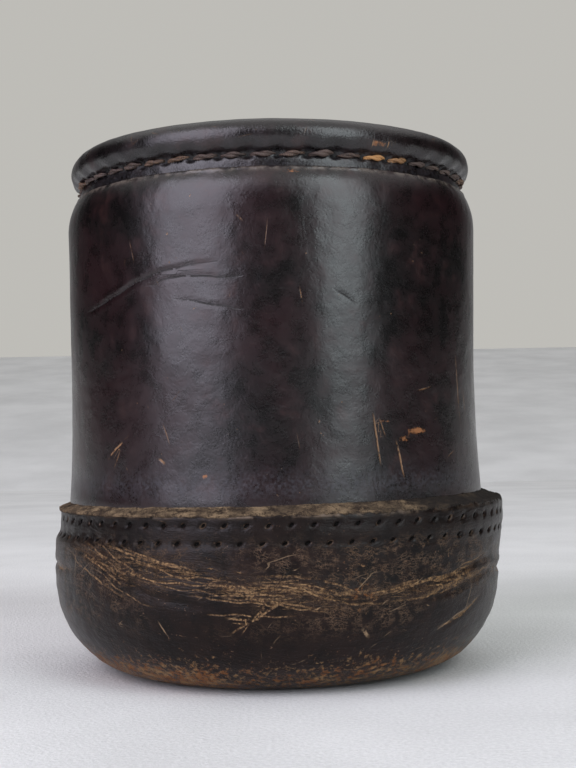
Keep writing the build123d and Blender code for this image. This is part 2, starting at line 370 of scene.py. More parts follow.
# Folds pressed into the sleeve: (points, half width, depth)
SLEEVE_FOLDS = (
    (((-58, 60.0), (-54, 60.3), (-42, 62.7), (-32, 64.6), (-23, 65.5), (-14, 65.9)), 0.34, 0.14),
    (((-33, 63.0), (-26, 63.7), (-19, 63.9), (-13, 63.6), (-6.5, 63.8)), 0.32, 0.07),
    (((-25, 60.6), (-20, 60.2), (-15.5, 59.6), (-7, 58.5)), 0.30, 0.07),
    (((15.5, 61.3), (18, 60.5), (21, 59.3)), 0.28, 0.08),
    (((92, 52.0), (100, 52.8), (108, 54.5), (116, 54.2), (124, 53.6), (139, 55.8)), 0.46, 0.2),
    (((103, 49.2), (110, 50.4), (118, 50.6), (128, 50.2)), 0.42, 0.12),
    (((-128, 44.5), (-121, 43.1), (-116, 42.6), (-101, 43.4)), 0.42, 0.15),
    (((196, 66.8), (204, 65.6), (213, 65.0), (226, 65.6)), 0.42, 0.14),
)

# Bare scratches in the finish, chosen one by one: (points, half width, strength)
SLEEVE_CUTS = (
    (wander((-40.4, 39.8), (-47.6, 36.4), 5, 0.5, 3), 0.17, 0.9),
    (wander((-43.0, 37.6), (-45.2, 35.1), 3, 0.2, 4), 0.11, 0.5),
    (wander((-30.0, 36.3), (-28.4, 35.6), 2, 0.1, 5), 0.22, 0.8),
    (wander((25.0, 42.6), (26.6, 35.0), 6, 0.5, 6), 0.15, 0.75),
    (wander((26.8, 41.8), (28.3, 39.3), 4, 0.3, 7), 0.11, 0.5),
    (wander((31.6, 38.2), (33.4, 33.0), 5, 0.5, 8), 0.17, 0.8),
    (wander((57.0, 51.8), (58.6, 41.6), 6, 0.7, 9), 0.13, 0.6),
    (wander((61.6, 46.4), (62.8, 42.6), 4, 0.4, 10), 0.1, 0.5),
    (wander((39.6, 46.2), (43.8, 46.7), 2, 0.1, 11), 0.12, 0.5),
    (wander((-8.5, 73.0), (-7.2, 72.1), 2, 0.1, 12), 0.14, 0.5),
)

# Places on the sleeve rubbed to rust: (strength, bearing, height, half length, half height)
SLEEVE_RUBS = (
    (0.95, 38.5, 39.9, 2.6, 0.75), (0.8, 34, 38.6, 1.6, 0.6), (1.0, -17.4, 33.6, 0.55, 0.5),
    (0.7, 28, 41.4, 2.0, 0.5), (0.75, 5.2, 79.6, 2.0, 0.6), (0.5, -1.5, 33.8, 0.8, 0.4),
    (0.6, 139, 37, 3.5, 1.7), (0.5, -112, 71, 3.0, 1.2),
)


def random_cuts(count, low, high, longest, upright):
    """Small scratches scattered right round, between two heights."""
    cuts = []
    for _ in range(count):
        bearing, height = rng.uniform(-180, 180), rng.uniform(low, high)
        length = 0.5 + longest * rng.random() ** 3
        lean = math.radians(rng.normal(90 if upright else 20, 28))
        reach = length * math.cos(lean) / ONE_DEGREE / SLEEVE_FOOT_R
        end = (bearing + reach, float(np.clip(height + length * math.sin(lean), low, high)))
        seed = int(rng.integers(100, 900))
        path = wander((bearing, height), end, 3, 0.15 * length, seed)
        cuts.append((path, rng.uniform(0.04, 0.10), rng.uniform(0.1, 0.55)))
    return cuts


def sways(bearing, seed, wide, wide_size, fine, fine_size):
    """How a line sways: a wide wave with a finer one on it, whose sizes are in degrees."""
    first = wide * noise(bearing / wide_size, seed * 0.7, 0.5, seed)
    return first + fine * noise(bearing / fine_size, seed * 0.7, 0.5, seed)


def fold_courses(folds):
    """The courses of folds, made of short lengths that sway off their points a little."""
    length, sway = 2.0, 0.35
    courses = []
    for seed, (points, _, _) in enumerate(folds, 5):
        at, heights = zip(*points)
        count = max(3, round((at[-1] - at[0]) / length))
        bearing = np.linspace(at[0], at[-1], count)
        height = np.interp(bearing, at, heights) + sways(bearing, seed, sway, 3.1, 0.4 * sway, 1.1)
        courses.append(list(zip(bearing.tolist(), height.tolist())))
    return courses


def press_folds(skin, radius, folds, lip):
    """Pushes folds in, with the leather standing up a little beside them. Returns where they are."""
    total = np.zeros(skin.bearing.shape)
    uneven = 0.85 + 0.55 * skin.noise(2.2, 2, 18)
    for course, (_, half_width, depth) in zip(fold_courses(folds), folds):
        across, strength = line_marks(skin, radius, [(course, half_width, 1.0)])
        fold = strength * uneven * hump(across, 1.0)
        beside = strength * uneven * (hump(across - 1.9, 1.0) + hump(across + 1.9, 1.0))
        skin.push(-depth * fold + lip * depth * beside)
        total = np.maximum(total, fold)
    return total


def make_sleeve():
    skin = Skin(sleeve_section(), columns=640, first_bearing=SLEEVE_SEAM + 0.28)
    outer = smoothstep(-0.2, 0.5, skin.nr) * smoothstep(CAP_TOP - 0.5, CAP_TOP + 4, skin.z)
    lip = hump(skin.z - SLEEVE_TOP + 0.25, 0.42) * smoothstep(MARGIN_R - 0.1, MARGIN_R + 0.3, skin.r)
    skin.push(outer * 0.30 * skin.noise(26, 2, 11))
    skin.push(outer * 0.10 * skin.noise(7, 3, 12, squash=0.7))
    skin.push(outer * 0.018 * skin.noise(1.3, 2, 13))
    skin.push(0.16 * lip * skin.noise(3.0, 3, 14) + 0.07 * lip * skin.noise(0.7, 2, 15))
    fold = press_folds(skin, SLEEVE_FOOT_R, SLEEVE_FOLDS, lip=0.28) * outer
    # The butt seam at the back, pulled in between its stitches
    from_seam = mm_from(skin.bearing, SLEEVE_SEAM, SLEEVE_FOOT_R)
    stitch_phase = (skin.z - SEAM_FIRST) / SEAM_PITCH
    from_stitch = stitch_phase - np.round(stitch_phase)
    sewn = smoothstep(SEAM_LOW - 1.5, SEAM_LOW, skin.z) * smoothstep(SEAM_HIGH + 1.5, SEAM_HIGH, skin.z)
    in_row = 0.5 + 0.5 * np.cos(2 * math.pi * stitch_phase)
    slot = hump(from_stitch, 0.16) * smoothstep(3.1, 2.5, np.abs(from_seam))
    at_hole = hump(np.abs(from_seam) - SEAM_HALF_WIDTH, 0.42) * hump(from_stitch * SEAM_PITCH, 0.42)
    seam = hump(from_seam, 0.26) * smoothstep(SLEEVE_TOP + 1, SLEEVE_TOP - 1, skin.z)
    skin.push(-outer * 0.6 * seam - outer * sewn * (0.22 * slot + 0.5 * at_hole))
    skin.push(-outer * sewn * 0.12 * hump(from_seam, 2.2) * (1 - in_row))
    cuts = list(SLEEVE_CUTS) + random_cuts(60, CAP_TOP + 1, SHOULDER_Z, longest=4.0, upright=True)
    across, strength = line_marks(skin, SLEEVE_FOOT_R, cuts)
    # Fine lines along the folds, which the material darkens as painted shade in the creases
    creases = [(course, 0.13, 0.9) for course in fold_courses(SLEEVE_FOLDS)]
    crease_across, crease_strength = line_marks(skin, SLEEVE_FOOT_R, creases)
    rub = sum(power * patch(skin, SLEEVE_FOOT_R, *where) for power, *where in SLEEVE_RUBS)
    skin.marks = {
        "cut_across": across,
        "cut_strength": strength * outer,
        "crease_across": crease_across,
        "crease_strength": crease_strength * outer,
        "rub": rub * outer,
        # Where folds are pressed in, which the material darkens a little as painted shade
        "fold": fold,
        # The cut lip, which the material paints paler: raw edge colour with a painted highlight
        "edge": lip,
        # Darkened in the material: the seam line as a dark joint, and painted shade in the stitch holes
        "dark": np.clip(seam + sewn * at_hole, 0, 1) * outer,
        # Near the cap, where the material lays wax bloom with a painted sheen
        "haze_and_sheen": hump(skin.z - CAP_TOP - 1.0, 3.2) * outer,
    }
    sleeve = finish_skin("Sleeve", skin)
    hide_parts("body_sleeve")
    return sleeve


# ---------------------------------------------------------------- the cap
def cap_section():
    corner = (CAP_FLAT_R, CAP_CORNER_H)
    points = line((0, 0), (CAP_FLAT_R, 0), 4)
    points += arc(corner, CAP_R - CAP_FLAT_R, CAP_CORNER_H, -90, 0, 0.5)
    points += line((CAP_R, CAP_CORNER_H), (CAP_R, LOWER_Z - 1.2), 0.5)
    points += line((CAP_R, LOWER_Z - 1.2), (CAP_R, CAP_EDGE_Z - 0.55), 0.21)
    points += arc((CAP_R - 0.7, CAP_EDGE_Z - 0.4), 0.7, 0.85, 0, 72, 0.2)
    points += line((CAP_R - 0.55, CAP_EDGE_Z + 0.42), (CAP_INNER_R - 0.25, CAP_TOP), 0.24)
    points += line((CAP_INNER_R - 0.25, CAP_TOP), (CAP_INNER_R, CAP_TOP - 2), 1)
    points += line((CAP_INNER_R, CAP_TOP - 2), (CAP_INNER_R, CAP_CORNER_H), 5)
    points += arc(corner, CAP_INNER_R - CAP_FLAT_R, CAP_CORNER_H - CAP_T, 0, -90, 7)
    points += line((CAP_FLAT_R, CAP_T), (0, CAP_T), 12)
    points += [np.array((0.0, CAP_T))]
    return points


# How the long creases of the cap run round it: (bearing, height)
CREASE_COURSE = (
    (-160, 17.5), (-128, 14.8), (-98, 18.0), (-70, 22.6), (-57, 22.3), (-42, 20.2), (-22, 18.2),
    (0, 16.2), (18, 14.6), (36, 15.2), (56, 17.2), (78, 18.4), (104, 14.6), (133, 16.4), (165, 13.6),
)

# Where the creases are broken open and pale: (bearing, offset from the course, half length, half height)
CREASE_PATCHES = (
    (-49, 0.0, 9.0, 2.1), (-35, -0.6, 8.0, 2.6), (-27, 1.6, 9.0, 1.7), (-6, 0.4, 11.0, 2.3),
    (9, 0.6, 9.0, 1.6), (34, 0.5, 11.0, 1.1), (55, -0.2, 8.0, 1.6), (73, -0.6, 8.0, 1.2),
    (112, 0.6, 14.0, 2.0), (146, 0.0, 12.0, 1.6), (-172, 0.4, 13.0, 2.2), (-131, 0.8, 12.0, 1.8),
    (-95, -0.4, 12.0, 1.8),
)

# Deeper folds of the cap: (points, half width, depth)
CAP_FOLDS = (
    (((-112, 17.4), (-96, 18.2), (-82, 18.6), (-68, 18.3), (-58, 18.8)), 0.62, 0.40),
    (((-58, 22.8), (-47, 20.9), (-37, 17.9), (-27, 15.3), (-17, 14.4)), 0.5, 0.34),
    (((-48, 22.4), (-36, 20.8), (-20, 18.7), (-5, 17.6)), 0.45, 0.3),
    (((-12, 17.2), (2, 16.0), (13, 14.6), (24, 14.3)), 0.5, 0.36),
    (((-20, 19.8), (-4, 17.0), (5, 15.9)), 0.35, 0.2),
    (((22, 16.0), (34, 16.3), (45, 17.6), (57, 19.3), (70, 19.4)), 0.5, 0.36),
    (((30, 14.2), (43, 14.9), (54, 16.3), (66, 17.2)), 0.5, 0.34),
    (((62, 17.0), (74, 16.7), (88, 16.2), (104, 15.0)), 0.62, 0.34),
    (((40, 9.0), (50, 11.0), (58, 13.2)), 0.4, 0.2),
    (((96, 15.9), (112, 14.2), (126, 15.8), (141, 16.6)), 0.5, 0.36),
    (((122, 19.0), (136, 17.9), (152, 18.4)), 0.45, 0.26),
    (((158, 14.4), (176, 15.3), (196, 17.8), (210, 18.2)), 0.5, 0.36),
    (((216, 15.4), (232, 14.6), (248, 16.6), (262, 18.9)), 0.5, 0.36),
    (((238, 12.0), (252, 12.6), (264, 14.6)), 0.4, 0.22),
)

# A pale forked scratch, one prong to each layer of strands: (points, half width, strength)
CAP_FORK = (
    (wander((-10.6, 10.6), (0.8, 15.2), 8, 0.5, 21), 0.17, 1.0),
    (wander((-6.6, 11.9), (-2.2, 15.3), 5, 0.3, 22), 0.13, 1.0),
    (wander((-8.3, 10.5), (-5.6, 12.7), 4, 0.2, 23), 0.11, 0.9),
)

# Other scratches of the cap, chosen one by one
CAP_CUTS = (
    (wander((19.4, 10.6), (21.0, 9.4), 3, 0.3, 24), 0.3, 0.7),
    (wander((41.0, 9.2), (52.0, 12.2), 5, 0.5, 25), 0.14, 0.7),
    (wander((-28.0, 12.0), (-26.0, 9.6), 3, 0.2, 26), 0.12, 0.6),
)

# Bundles of open creases: (course, number of strands, spread)
CAP_BUNDLES = (
    (((-62, 23.2), (-50, 21.3), (-42, 19.4), (-33, 16.4), (-24, 14.4)), 7, 4.6),
    (((-50, 22.6), (-35, 20.9), (-20, 18.9), (-4, 18.0)), 6, 3.9),
    (((-34, 18.6), (-20, 17.0), (-6, 16.4), (4, 15.6), (14, 14.6), (28, 14.5)), 6, 3.0),
    (((-6, 18.8), (6, 17.6), (16, 15.6), (26, 15.3)), 4, 2.2),
    (((24, 14.5), (40, 15.4), (52, 16.9), (66, 18.0)), 4, 1.2),
    (((10, 17.0), (21, 15.6), (33, 16.8), (47, 18.0), (61, 19.7)), 4, 1.3),
    (((38, 8.8), (50, 11.2), (60, 13.6)), 2, 0.8),
    (((-80, 18.9), (-68, 18.3), (-57, 17.6)), 4, 1.8),
    (((-22, 13.4), (-6, 12.9), (6, 12.9)), 2, 1.2),
    (((70, 17.2), (84, 16.4), (98, 15.2)), 6, 1.5),
    (((94, 15.7), (112, 14.3), (126, 15.9), (142, 16.7)), 10, 2.6),
    (((118, 19.3), (136, 17.8), (154, 18.6)), 6, 1.8),
    (((156, 14.2), (176, 15.4), (196, 17.9), (212, 18.4)), 11, 2.4),
    (((214, 15.2), (232, 14.5), (248, 16.7), (264, 19.2)), 10, 2.6),
    (((236, 20.4), (250, 21.8), (262, 22.6)), 6, 1.8),
)


def crease_strands(bundles):
    """Wavering strands along each bundle's course, shared out in three layers so that neighbours
    in a layer stay apart."""
    layers = ([], [], [])
    for course, count, spread in bundles:
        at, heights = zip(*course)
        shorter = (at[-1] - at[0]) * 0.4
        for i in range(count):
            first, last = at[0] + shorter * rng.random(), at[-1] - shorter * rng.random()
            bearing = np.linspace(first, last, max(5, round((last - first) / 1.2)))
            seed = int(rng.integers(100, 900))
            offset = spread * ((i + 0.5) / count - 0.5) * (1 + 0.3 * np.sin(bearing / 9))
            sway = sways(bearing, seed, 0.55, 4.5, 0.22, 1.6)
            height = np.interp(bearing, at, heights) + offset + sway
            path = list(zip(bearing.tolist(), height.tolist()))
            layers[i % 3].append((path, rng.uniform(0.09, 0.20), rng.uniform(0.65, 1.0)))
    return layers


def awl_holes(skin, height, first, slant):
    """Distance from the nearest hole of a round row of slanting awl cuts, 1 at the hole's rim, and
    how far along the row it lies."""
    _, u = along_row(skin.bearing, first, BASE_PITCH, CAP_R)
    v = skin.z - height
    long_way = u * math.cos(slant) + v * math.sin(slant)
    short_way = v * math.cos(slant) - u * math.sin(slant)
    return np.hypot(long_way / 0.38, short_way / 0.20), u


def cap_lean(bearing, height):
    """The sewn band of the cap sits about a millimetre over to one side."""
    over = np.sin(np.radians(bearing))
    sharp = smoothstep(LOWER_Z - 1.6, LOWER_Z + 1.2, height)
    soft = smoothstep(LOWER_Z - 7.5, LOWER_Z + 2.5, height)
    return over * np.where(over < 0, sharp, soft)


def make_cap():
    skin = Skin(cap_section(), columns=12 * BASE_STITCHES, first_bearing=LOWER_FIRST)
    faces_out = (skin.nz < -0.05) | (skin.nr > 0.2)
    in_bowl = (skin.r < CAP_INNER_R + 0.01) & (skin.z > CAP_T - 0.01) & (skin.nr < 0.2)
    outside = np.where(faces_out & ~in_bowl, 1.0, 0.0)
    side = outside * smoothstep(0.15, 0.75, skin.nr)
    flat = outside * smoothstep(0.35, 0.02, skin.nr)
    course = round_curve(skin.bearing, CREASE_COURSE)
    flow = skin.z - course + 0.8 * skin.noise(11, 2, 31)
    wall = side * smoothstep(LOWER_Z + 0.2, LOWER_Z - 1.6, skin.z)
    skin.push(side * 0.26 * skin.noise(24, 2, 32))
    # Long soft folds that follow the course of the creases
    ridges = fbm(skin.x / 16, skin.y / 16, flow / 2.1, 3, 33)
    fine = fbm(skin.x / 5, skin.y / 5, flow / 0.55, 3, 34)
    broken = np.zeros(skin.bearing.shape)
    for bearing, offset, half_length, half_height in CREASE_PATCHES:
        u = mm_from(skin.bearing, bearing, CAP_R)
        broken = np.maximum(broken, oval(u, flow - offset, half_length, half_height))
    creased = 0.35 + 0.65 * np.clip(broken * 1.3, 0, 1)
    skin.push(wall * creased * (0.42 * ridges + 0.13 * fine))
    fold = press_folds(skin, CAP_R, CAP_FOLDS, lip=0.22) * side
    # The sewn band: two rows of slanting holes, with the leather pinched between them
    upper, _ = awl_holes(skin, UPPER_Z, UPPER_FIRST, 0.62)
    lower, lower_u = awl_holes(skin, LOWER_Z, LOWER_FIRST, 0.5)
    holes = np.minimum(upper, lower)
    sheath = side * smoothstep(CAP_EDGE_Z + 0.1, CAP_EDGE_Z - 0.2, skin.z)
    groove_upper, groove_lower = hump(skin.z - UPPER_Z, 0.55), hump(skin.z - LOWER_Z, 0.5)
    skin.push(side * cap_lean(skin.bearing, skin.z))
    pillow = np.cos(math.pi * lower_u / (BASE_PITCH * ONE_DEGREE * CAP_R)) ** 2
    between = hump(skin.z - (UPPER_Z + LOWER_Z) / 2, 0.9)
    pinch = 0.07 * between * (1 - 0.6 * pillow)
    skin.push(sheath * (-0.05 * groove_upper - 0.08 * groove_lower + pinch))
    skin.push(-0.5 * sheath * np.exp(-((holes / 1.45) ** 2)))
    skin.push(side * 0.05 * skin.noise(2.0, 2, 35))
    # The cut edge: fibres, dents and a worn corner
    cut_edge = outside * hump(skin.z - (CAP_EDGE_Z + CAP_TOP) / 2, 1.15) * smoothstep(0.2, 0.6, skin.nz)
    skin.push(cut_edge * (0.22 * skin.noise(4.5, 2, 36) + 0.16 * skin.noise(0.9, 3, 37)))
    corner = hump(skin.z - CAP_EDGE_Z, 0.7) * outside
    skin.push(corner * (0.10 * skin.noise(3.2, 3, 38) - 0.05))
    # The foot: flattened, rubbed and dented where it stands
    skin.push(flat * 0.05 * np.minimum(0, skin.noise(9, 3, 39)))
    foot = outside * hump(skin.z - 3.0, 3.6) * smoothstep(0.02, 0.4, skin.nr)
    skin.push(foot * 0.09 * skin.noise(4, 3, 40))
    cuts = list(CAP_CUTS) + random_cuts(130, 2.0, LOWER_Z - 1.5, longest=4.5, upright=False)
    across, strength = line_marks(skin, CAP_R, cuts)
    scuff = outside * hump(skin.z - 2.6, 4.0) * (0.78 + 0.38 * skin.noise(14, 2, 41))
    scuff *= smoothstep(0.0, 0.2, skin.nr + 0.1)
    scuff += 0.5 * wall * smoothstep(0.15, 0.6, skin.noise(13, 3, 42)) + 0.35 * flat
    ragged = skin.noise(9, 2, 43)
    crazed = ragged + 1.3 * patch(skin, CAP_R, 30, 19.6, 19, 4.6) + 0.3 * broken
    craze = side * smoothstep(UPPER_Z + 0.3, LOWER_Z - 1.5, skin.z) * smoothstep(-0.35, 0.45, crazed)
    # Higher towards the right-hand side (+X) of the cup, broken up by noise: the material darkens the raw
    # edge there and dims its pale corner
    darker_right = np.sin(np.radians(skin.bearing) - 0.15) + 0.7 * skin.noise(6, 3, 44)
    skin.marks = {
        "flow": flow,
        "broken": broken * wall,
        "fold": fold * wall,
        "craze": craze * smoothstep(8, 13, skin.z),
        "scuff": np.clip(scuff, 0, 1),
        "edge": np.where(outside > 0, skin.z - CAP_EDGE_Z, -1.0),
        "darker_right": smoothstep(-0.1, 0.7, darker_right),
        # The corner of the cut edge, which the material paints pale: burnished wear with a painted
        # highlight
        "corner": hump(skin.z - CAP_EDGE_Z, 0.3) * outside,
        "hole": np.where(sheath > 0.5, np.clip(holes, 0, 6), 6),
        "band": sheath * smoothstep(LOWER_Z - 0.9, LOWER_Z - 0.2, skin.z),
        "cut_across": across,
        "cut_strength": strength * wall,
    }
    for layer, strands, prong in zip("abc", crease_strands(CAP_BUNDLES), CAP_FORK):
        across, strength = line_marks(skin, CAP_R, [prong] + strands)
        skin.marks[f"strand_{layer}_across"] = across
        skin.marks[f"strand_{layer}_strength"] = strength * wall
    cap = finish_skin("Cap", skin)
    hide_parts("base_cap")
    return cap


# ---------------------------------------------------------------- the rim binding
def binding_section():
    root = math.degrees(math.asin((MARGIN_R - BEAD[0]) / BEAD_R)) - 90
    inner = 270 - math.degrees(math.asin((BEAD[0] - INNER_MARGIN_R) / BEAD_R))
    root_z = BEAD[1] + BEAD_R * math.sin(math.radians(root))
    inner_z = BEAD[1] + BEAD_R * math.sin(math.radians(inner))
    cord = BEAD_R - BINDING_T
    inner_r, outer_r = LINING_R - GLUE_GAP, LINING_OUTER_R + GLUE_GAP
    first = math.degrees(math.acos((inner_r - BEAD[0]) / cord))
    last = -math.degrees(math.acos((outer_r - BEAD[0]) / cord))
    first_z = BEAD[1] - cord * math.sin(math.radians(first))
    last_z = BEAD[1] + cord * math.sin(math.radians(last))
    points = line((MARGIN_R, MARGIN_LOW), (MARGIN_R, SLEEVE_TOP - 1.2), 1.9)
    points += line((MARGIN_R, SLEEVE_TOP - 1.2), (MARGIN_R, root_z), 0.24)
    points += arc(BEAD, BEAD_R, BEAD_R, root, inner, 0.36)
    points += line((INNER_MARGIN_R, inner_z), (INNER_MARGIN_R, INNER_MARGIN_LOW), 0.5)
    points += line((INNER_MARGIN_R, INNER_MARGIN_LOW), (inner_r, INNER_MARGIN_LOW), 0.5)
    points += line((inner_r, INNER_MARGIN_LOW), (inner_r, first_z), 3)
    points += arc(BEAD, cord, cord, 360 - first, last, 2.0)
    points += line((outer_r, last_z), (outer_r, MARGIN_LOW), 3)
    points += line((outer_r, MARGIN_LOW), (MARGIN_R, MARGIN_LOW), 0.5)
    return points


def make_binding():
    skin = Skin(binding_section(), columns=19 * RIM_STITCHES, first_bearing=RIM_FIRST)
    cord = BEAD_R - BINDING_T
    from_bead = np.hypot(skin.r - BEAD[0], skin.z - BEAD[1])
    shown = smoothstep(cord + 0.2, BEAD_R - 0.1, from_bead)
    shown = shown * smoothstep(MARGIN_LOW + 2, SLEEVE_TOP - 0.8, skin.z)
    outside = shown * smoothstep(BEAD[0] - 0.5, BEAD[0] + 0.5, skin.r)
    step, u = along_row(skin.bearing, RIM_FIRST, RIM_PITCH, MARGIN_R)
    v = skin.z - RIM_ROW_Z
    at_hole = oval(u, v, 0.62, 0.5)
    mid_stitch = np.sin(math.pi * step) ** 2
    groove = hump(v, 0.6)
    skin.push(shown * 0.16 * skin.noise(19, 2, 51))
    skin.push(shown * 0.07 * skin.noise(3.6, 3, 52))
    skin.push(outside * (-0.26 * groove - 0.5 * at_hole))
    # The root of the bead bulges over the middle of each stitch, and is pulled in at the holes
    over = hump(skin.z - RIM_ROW_Z - 1.0, 0.8) * outside
    skin.push(over * (0.16 * mid_stitch - 0.16 * (1 - mid_stitch)))
    # Pleats: the strip is gathered as it turns down to the stitches
    turn = np.radians(skin.bearing)
    pleats = noise(np.cos(turn) * 14, np.sin(turn) * 14, 0.2 * skin.z, 53)
    low_down = smoothstep(BEAD[1] + 0.5, RIM_ROW_Z - 0.6, skin.z)
    skin.push(outside * low_down * 0.07 * pleats + 0.04 * shown * pleats)
    inner_hole = oval(u, v, 0.5, 0.45) * shown * (1 - outside)
    below_bead = smoothstep(RIM_ROW_Z + 1.3, RIM_ROW_Z + 0.7, skin.z)
    skin.push(-0.4 * inner_hole - 0.14 * shown * (1 - outside) * groove * below_bead)
    from_joint = mm_from(skin.bearing, BINDING_SEAM, BEAD_OUTER_R)
    joint = hump(from_joint + 0.35 * np.sin(skin.z * 0.9), 0.24) * shown
    overlap = smoothstep(0, 0.5, from_joint) * smoothstep(4.0, 0.8, from_joint)
    skin.push(-0.34 * joint + 0.12 * shown * overlap)
    rub = hump(skin.z - RIM_TOP, 0.9) * smoothstep(0.1, 0.6, skin.noise(9, 3, 55)) * shown
    rub = rub + 0.8 * patch(skin, BEAD_OUTER_R, 29, 84.3, 2.2, 0.7) * outside
    folds = [
        (wander((27.3, 84.7), (27.2, 83.8), 2, 0.05, 61), 0.10, 1.0),
        (wander((32.1, 84.9), (31.9, 83.8), 2, 0.05, 62), 0.10, 1.0),
    ]
    lowest, highest = 84.0, 87.6
    for _ in range(40):
        bearing, height = rng.uniform(-180, 180), rng.uniform(lowest, highest)
        end = (bearing + rng.normal(0, 2.5), height + rng.normal(0, 0.9))
        path = wander((bearing, height), end, 3, 0.1, int(rng.integers(100, 900)))
        folds.append((path, 0.07, rng.uniform(0.05, 0.3)))
    across, strength = line_marks(skin, BEAD_OUTER_R, folds)
    skin.marks = {
        "cut_across": across,
        "cut_strength": strength * outside,
        "rub": np.clip(rub, 0, 1),
        # The hollows of the pleats, which the material darkens a little as painted shade
        "fold": np.clip(-pleats, 0, 1) * low_down * outside,
        "edge": np.zeros(skin.bearing.shape),
        # Darkened in the material: the joint, and painted shade in the stitch holes
        "dark": np.clip(at_hole * outside + joint + inner_hole, 0, 1),
        # On the margin below the bead, where the material lays wax bloom with a painted sheen
        "haze_and_sheen": 0.5 * low_down * outside,
    }
    binding = finish_skin("Rim_binding", skin)
    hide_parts("rim_binding")
    return binding


# ---------------------------------------------------------------- thread
PLIES = 2
PLY_SIDES = 8
WHOLE_TURN = 2 * math.pi


def strand(centre, side, up, radius, phase, turns, spread):
    """One ply of a stitch, wound round the stitch's centre line. Returns its points and faces."""
    steps, around = len(centre), PLY_SIDES
    t = np.linspace(0, 1, steps)
    body = 0.36 + 0.64 * np.sin(math.pi * np.clip(t, 0.02, 0.98))
    angle = phase + WHOLE_TURN * turns * t
    aside = body * spread
    path = centre + ((np.cos(angle) * aside)[:, None] * up + (np.sin(angle) * aside)[:, None] * side)
    along = np.gradient(path, axis=0)
    along /= np.linalg.norm(along, axis=1)[:, None]
    first = np.cross(along, side)
    first /= np.linalg.norm(first, axis=1)[:, None]
    second = np.cross(along, first)
    ring = (WHOLE_TURN * np.arange(around) / around)[None, :, None]
    thick = (radius * body)[:, None, None]
    spokes = np.cos(ring) * first[:, None, :] + np.sin(ring) * second[:, None, :]
    points = (path[:, None, :] + thick * spokes).reshape(-1, 3)
    i, j = np.meshgrid(np.arange(steps - 1), np.arange(around), indexing="ij")
    on = (j + 1) % around
    row, after = i * around, (i + 1) * around
    faces = np.stack((row + j, row + on, after + on, after + j), -1)
    ends = np.array([path[0], path[-1]])
    cap_start, cap_end = steps * around, steps * around + 1
    last = (steps - 1) * around
    caps = [(cap_start, (k + 1) % around, k) for k in range(around)]
    caps += [(cap_end, last + k, last + (k + 1) % around) for k in range(around)]
    return np.vstack((points, ends)), faces.reshape(-1, 4), caps


class Thread:
    """Many stitches gathered into one mesh."""

    def __init__(self):
        self.points, self.quads, self.tris, self.worn, self.total = [], [], [], [], 0

    def stitch(self, centre, side, up, radius, spread, turns, worn, phase):
        for ply in range(PLIES):
            turn = phase + WHOLE_TURN * ply / PLIES
            points, quads, tris = strand(centre, side, up, radius, turn, turns, spread)
            self.points.append(points)
            self.quads += [tuple(f) for f in (quads + self.total).tolist()]
            self.tris += [tuple(i + self.total for i in f) for f in tris]
            self.worn.append(np.full(len(points), worn))
            self.total += len(points)

    def piece(self, name, node, slot):
        mesh = bpy.data.meshes.new(name)
        points = np.vstack(self.points) * MM
        mesh.from_pydata(points.tolist(), [], self.quads + self.tris)
        mesh.polygons.foreach_set("use_smooth", np.ones(len(mesh.polygons), dtype=bool))
        add_mark(mesh, "worn", np.concatenate(self.worn))
        mesh.update()
        thread = add_object(name, mesh)
        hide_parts(node)
        return thread


def round_stitch(bearing, pitch, radius, height, lift, dive, lean, inward=False, share=0.94, steps=15):
    """The centre line of one stitch of a round row, and its outward and upward directions."""
    t = np.linspace(0, 1, steps)
    angle = np.radians(bearing + pitch * (0.5 + share * (t - 0.5)))
    bow = np.sin(math.pi * t) ** 0.6 * (lift + dive) - dive
    r = radius + (-bow if inward else bow)
    z = height + lean * (t - 0.5)
    centre = np.stack((r * np.sin(angle), -r * np.cos(angle), z), -1)
    side = np.stack((np.sin(angle), -np.cos(angle), 0 * angle), -1)
    up = np.tile((0.0, 0.0, 1.0), (steps, 1))
    return centre, side, up


def any_phase():
    """A random turn for the plies of a stitch to start from."""
    return rng.uniform(0, 6.28)


def make_rim_thread():
    thread = Thread()
    for i in range(RIM_STITCHES):
        bearing = RIM_FIRST + i * RIM_PITCH
        middle = turn_gap(bearing + RIM_PITCH / 2, 0)
        worn = 0.15 + 0.35 * rng.random()
        worn += float(hump(middle - 29.5, 3) + 0.3 * hump(middle - 37, 4))
        size = 1 + rng.normal(0, 0.12)
        lift, lean = 0.06 + rng.normal(0, 0.10), 0.25 + rng.normal(0, 0.12)
        height = RIM_ROW_Z + 0.12 + rng.normal(0, 0.05)
        shape = round_stitch(
            bearing, RIM_PITCH, MARGIN_R, height, lift, dive=0.6, lean=lean, share=0.86, steps=19
        )
        worn = min(worn, 1.3)
        thread.stitch(*shape, 0.30 * size, 0.22 * size, turns=0.8, worn=worn, phase=any_phase())
        shape = round_stitch(
            bearing, RIM_PITCH, INNER_MARGIN_R, RIM_ROW_Z, lift=0.16, dive=0.5, lean=-0.2, inward=True
        )
        thread.stitch(*shape, 0.26, 0.22, turns=1.4, worn=0.35, phase=any_phase())
    return thread.piece("Rim_thread", "rim_thread", "rim_thread")


def make_base_threads():
    rows = []
    for name, node, height, first, lift in (
        ("Base_thread_upper", "base_thread_upper", UPPER_Z, UPPER_FIRST, -0.55),
        ("Base_thread_lower", "base_thread_lower", LOWER_Z, LOWER_FIRST, -0.66),
    ):
        thread = Thread()
        for i in range(BASE_STITCHES):
            bearing = first + i * BASE_PITCH
            size, rise = 1 + rng.normal(0, 0.06), lift + rng.normal(0, 0.03)
            radius = CAP_R + float(cap_lean(bearing, height))
            shape = round_stitch(
                bearing, BASE_PITCH, radius, height, rise, dive=0.75, lean=0.18, share=0.97
            )
            worn, phase = 0.3 * rng.random(), any_phase()
            thread.stitch(*shape, 0.21 * size, 0.17 * size, turns=1.2, worn=worn, phase=phase)
        rows.append(thread.piece(name, node, "base_thread"))
    return rows


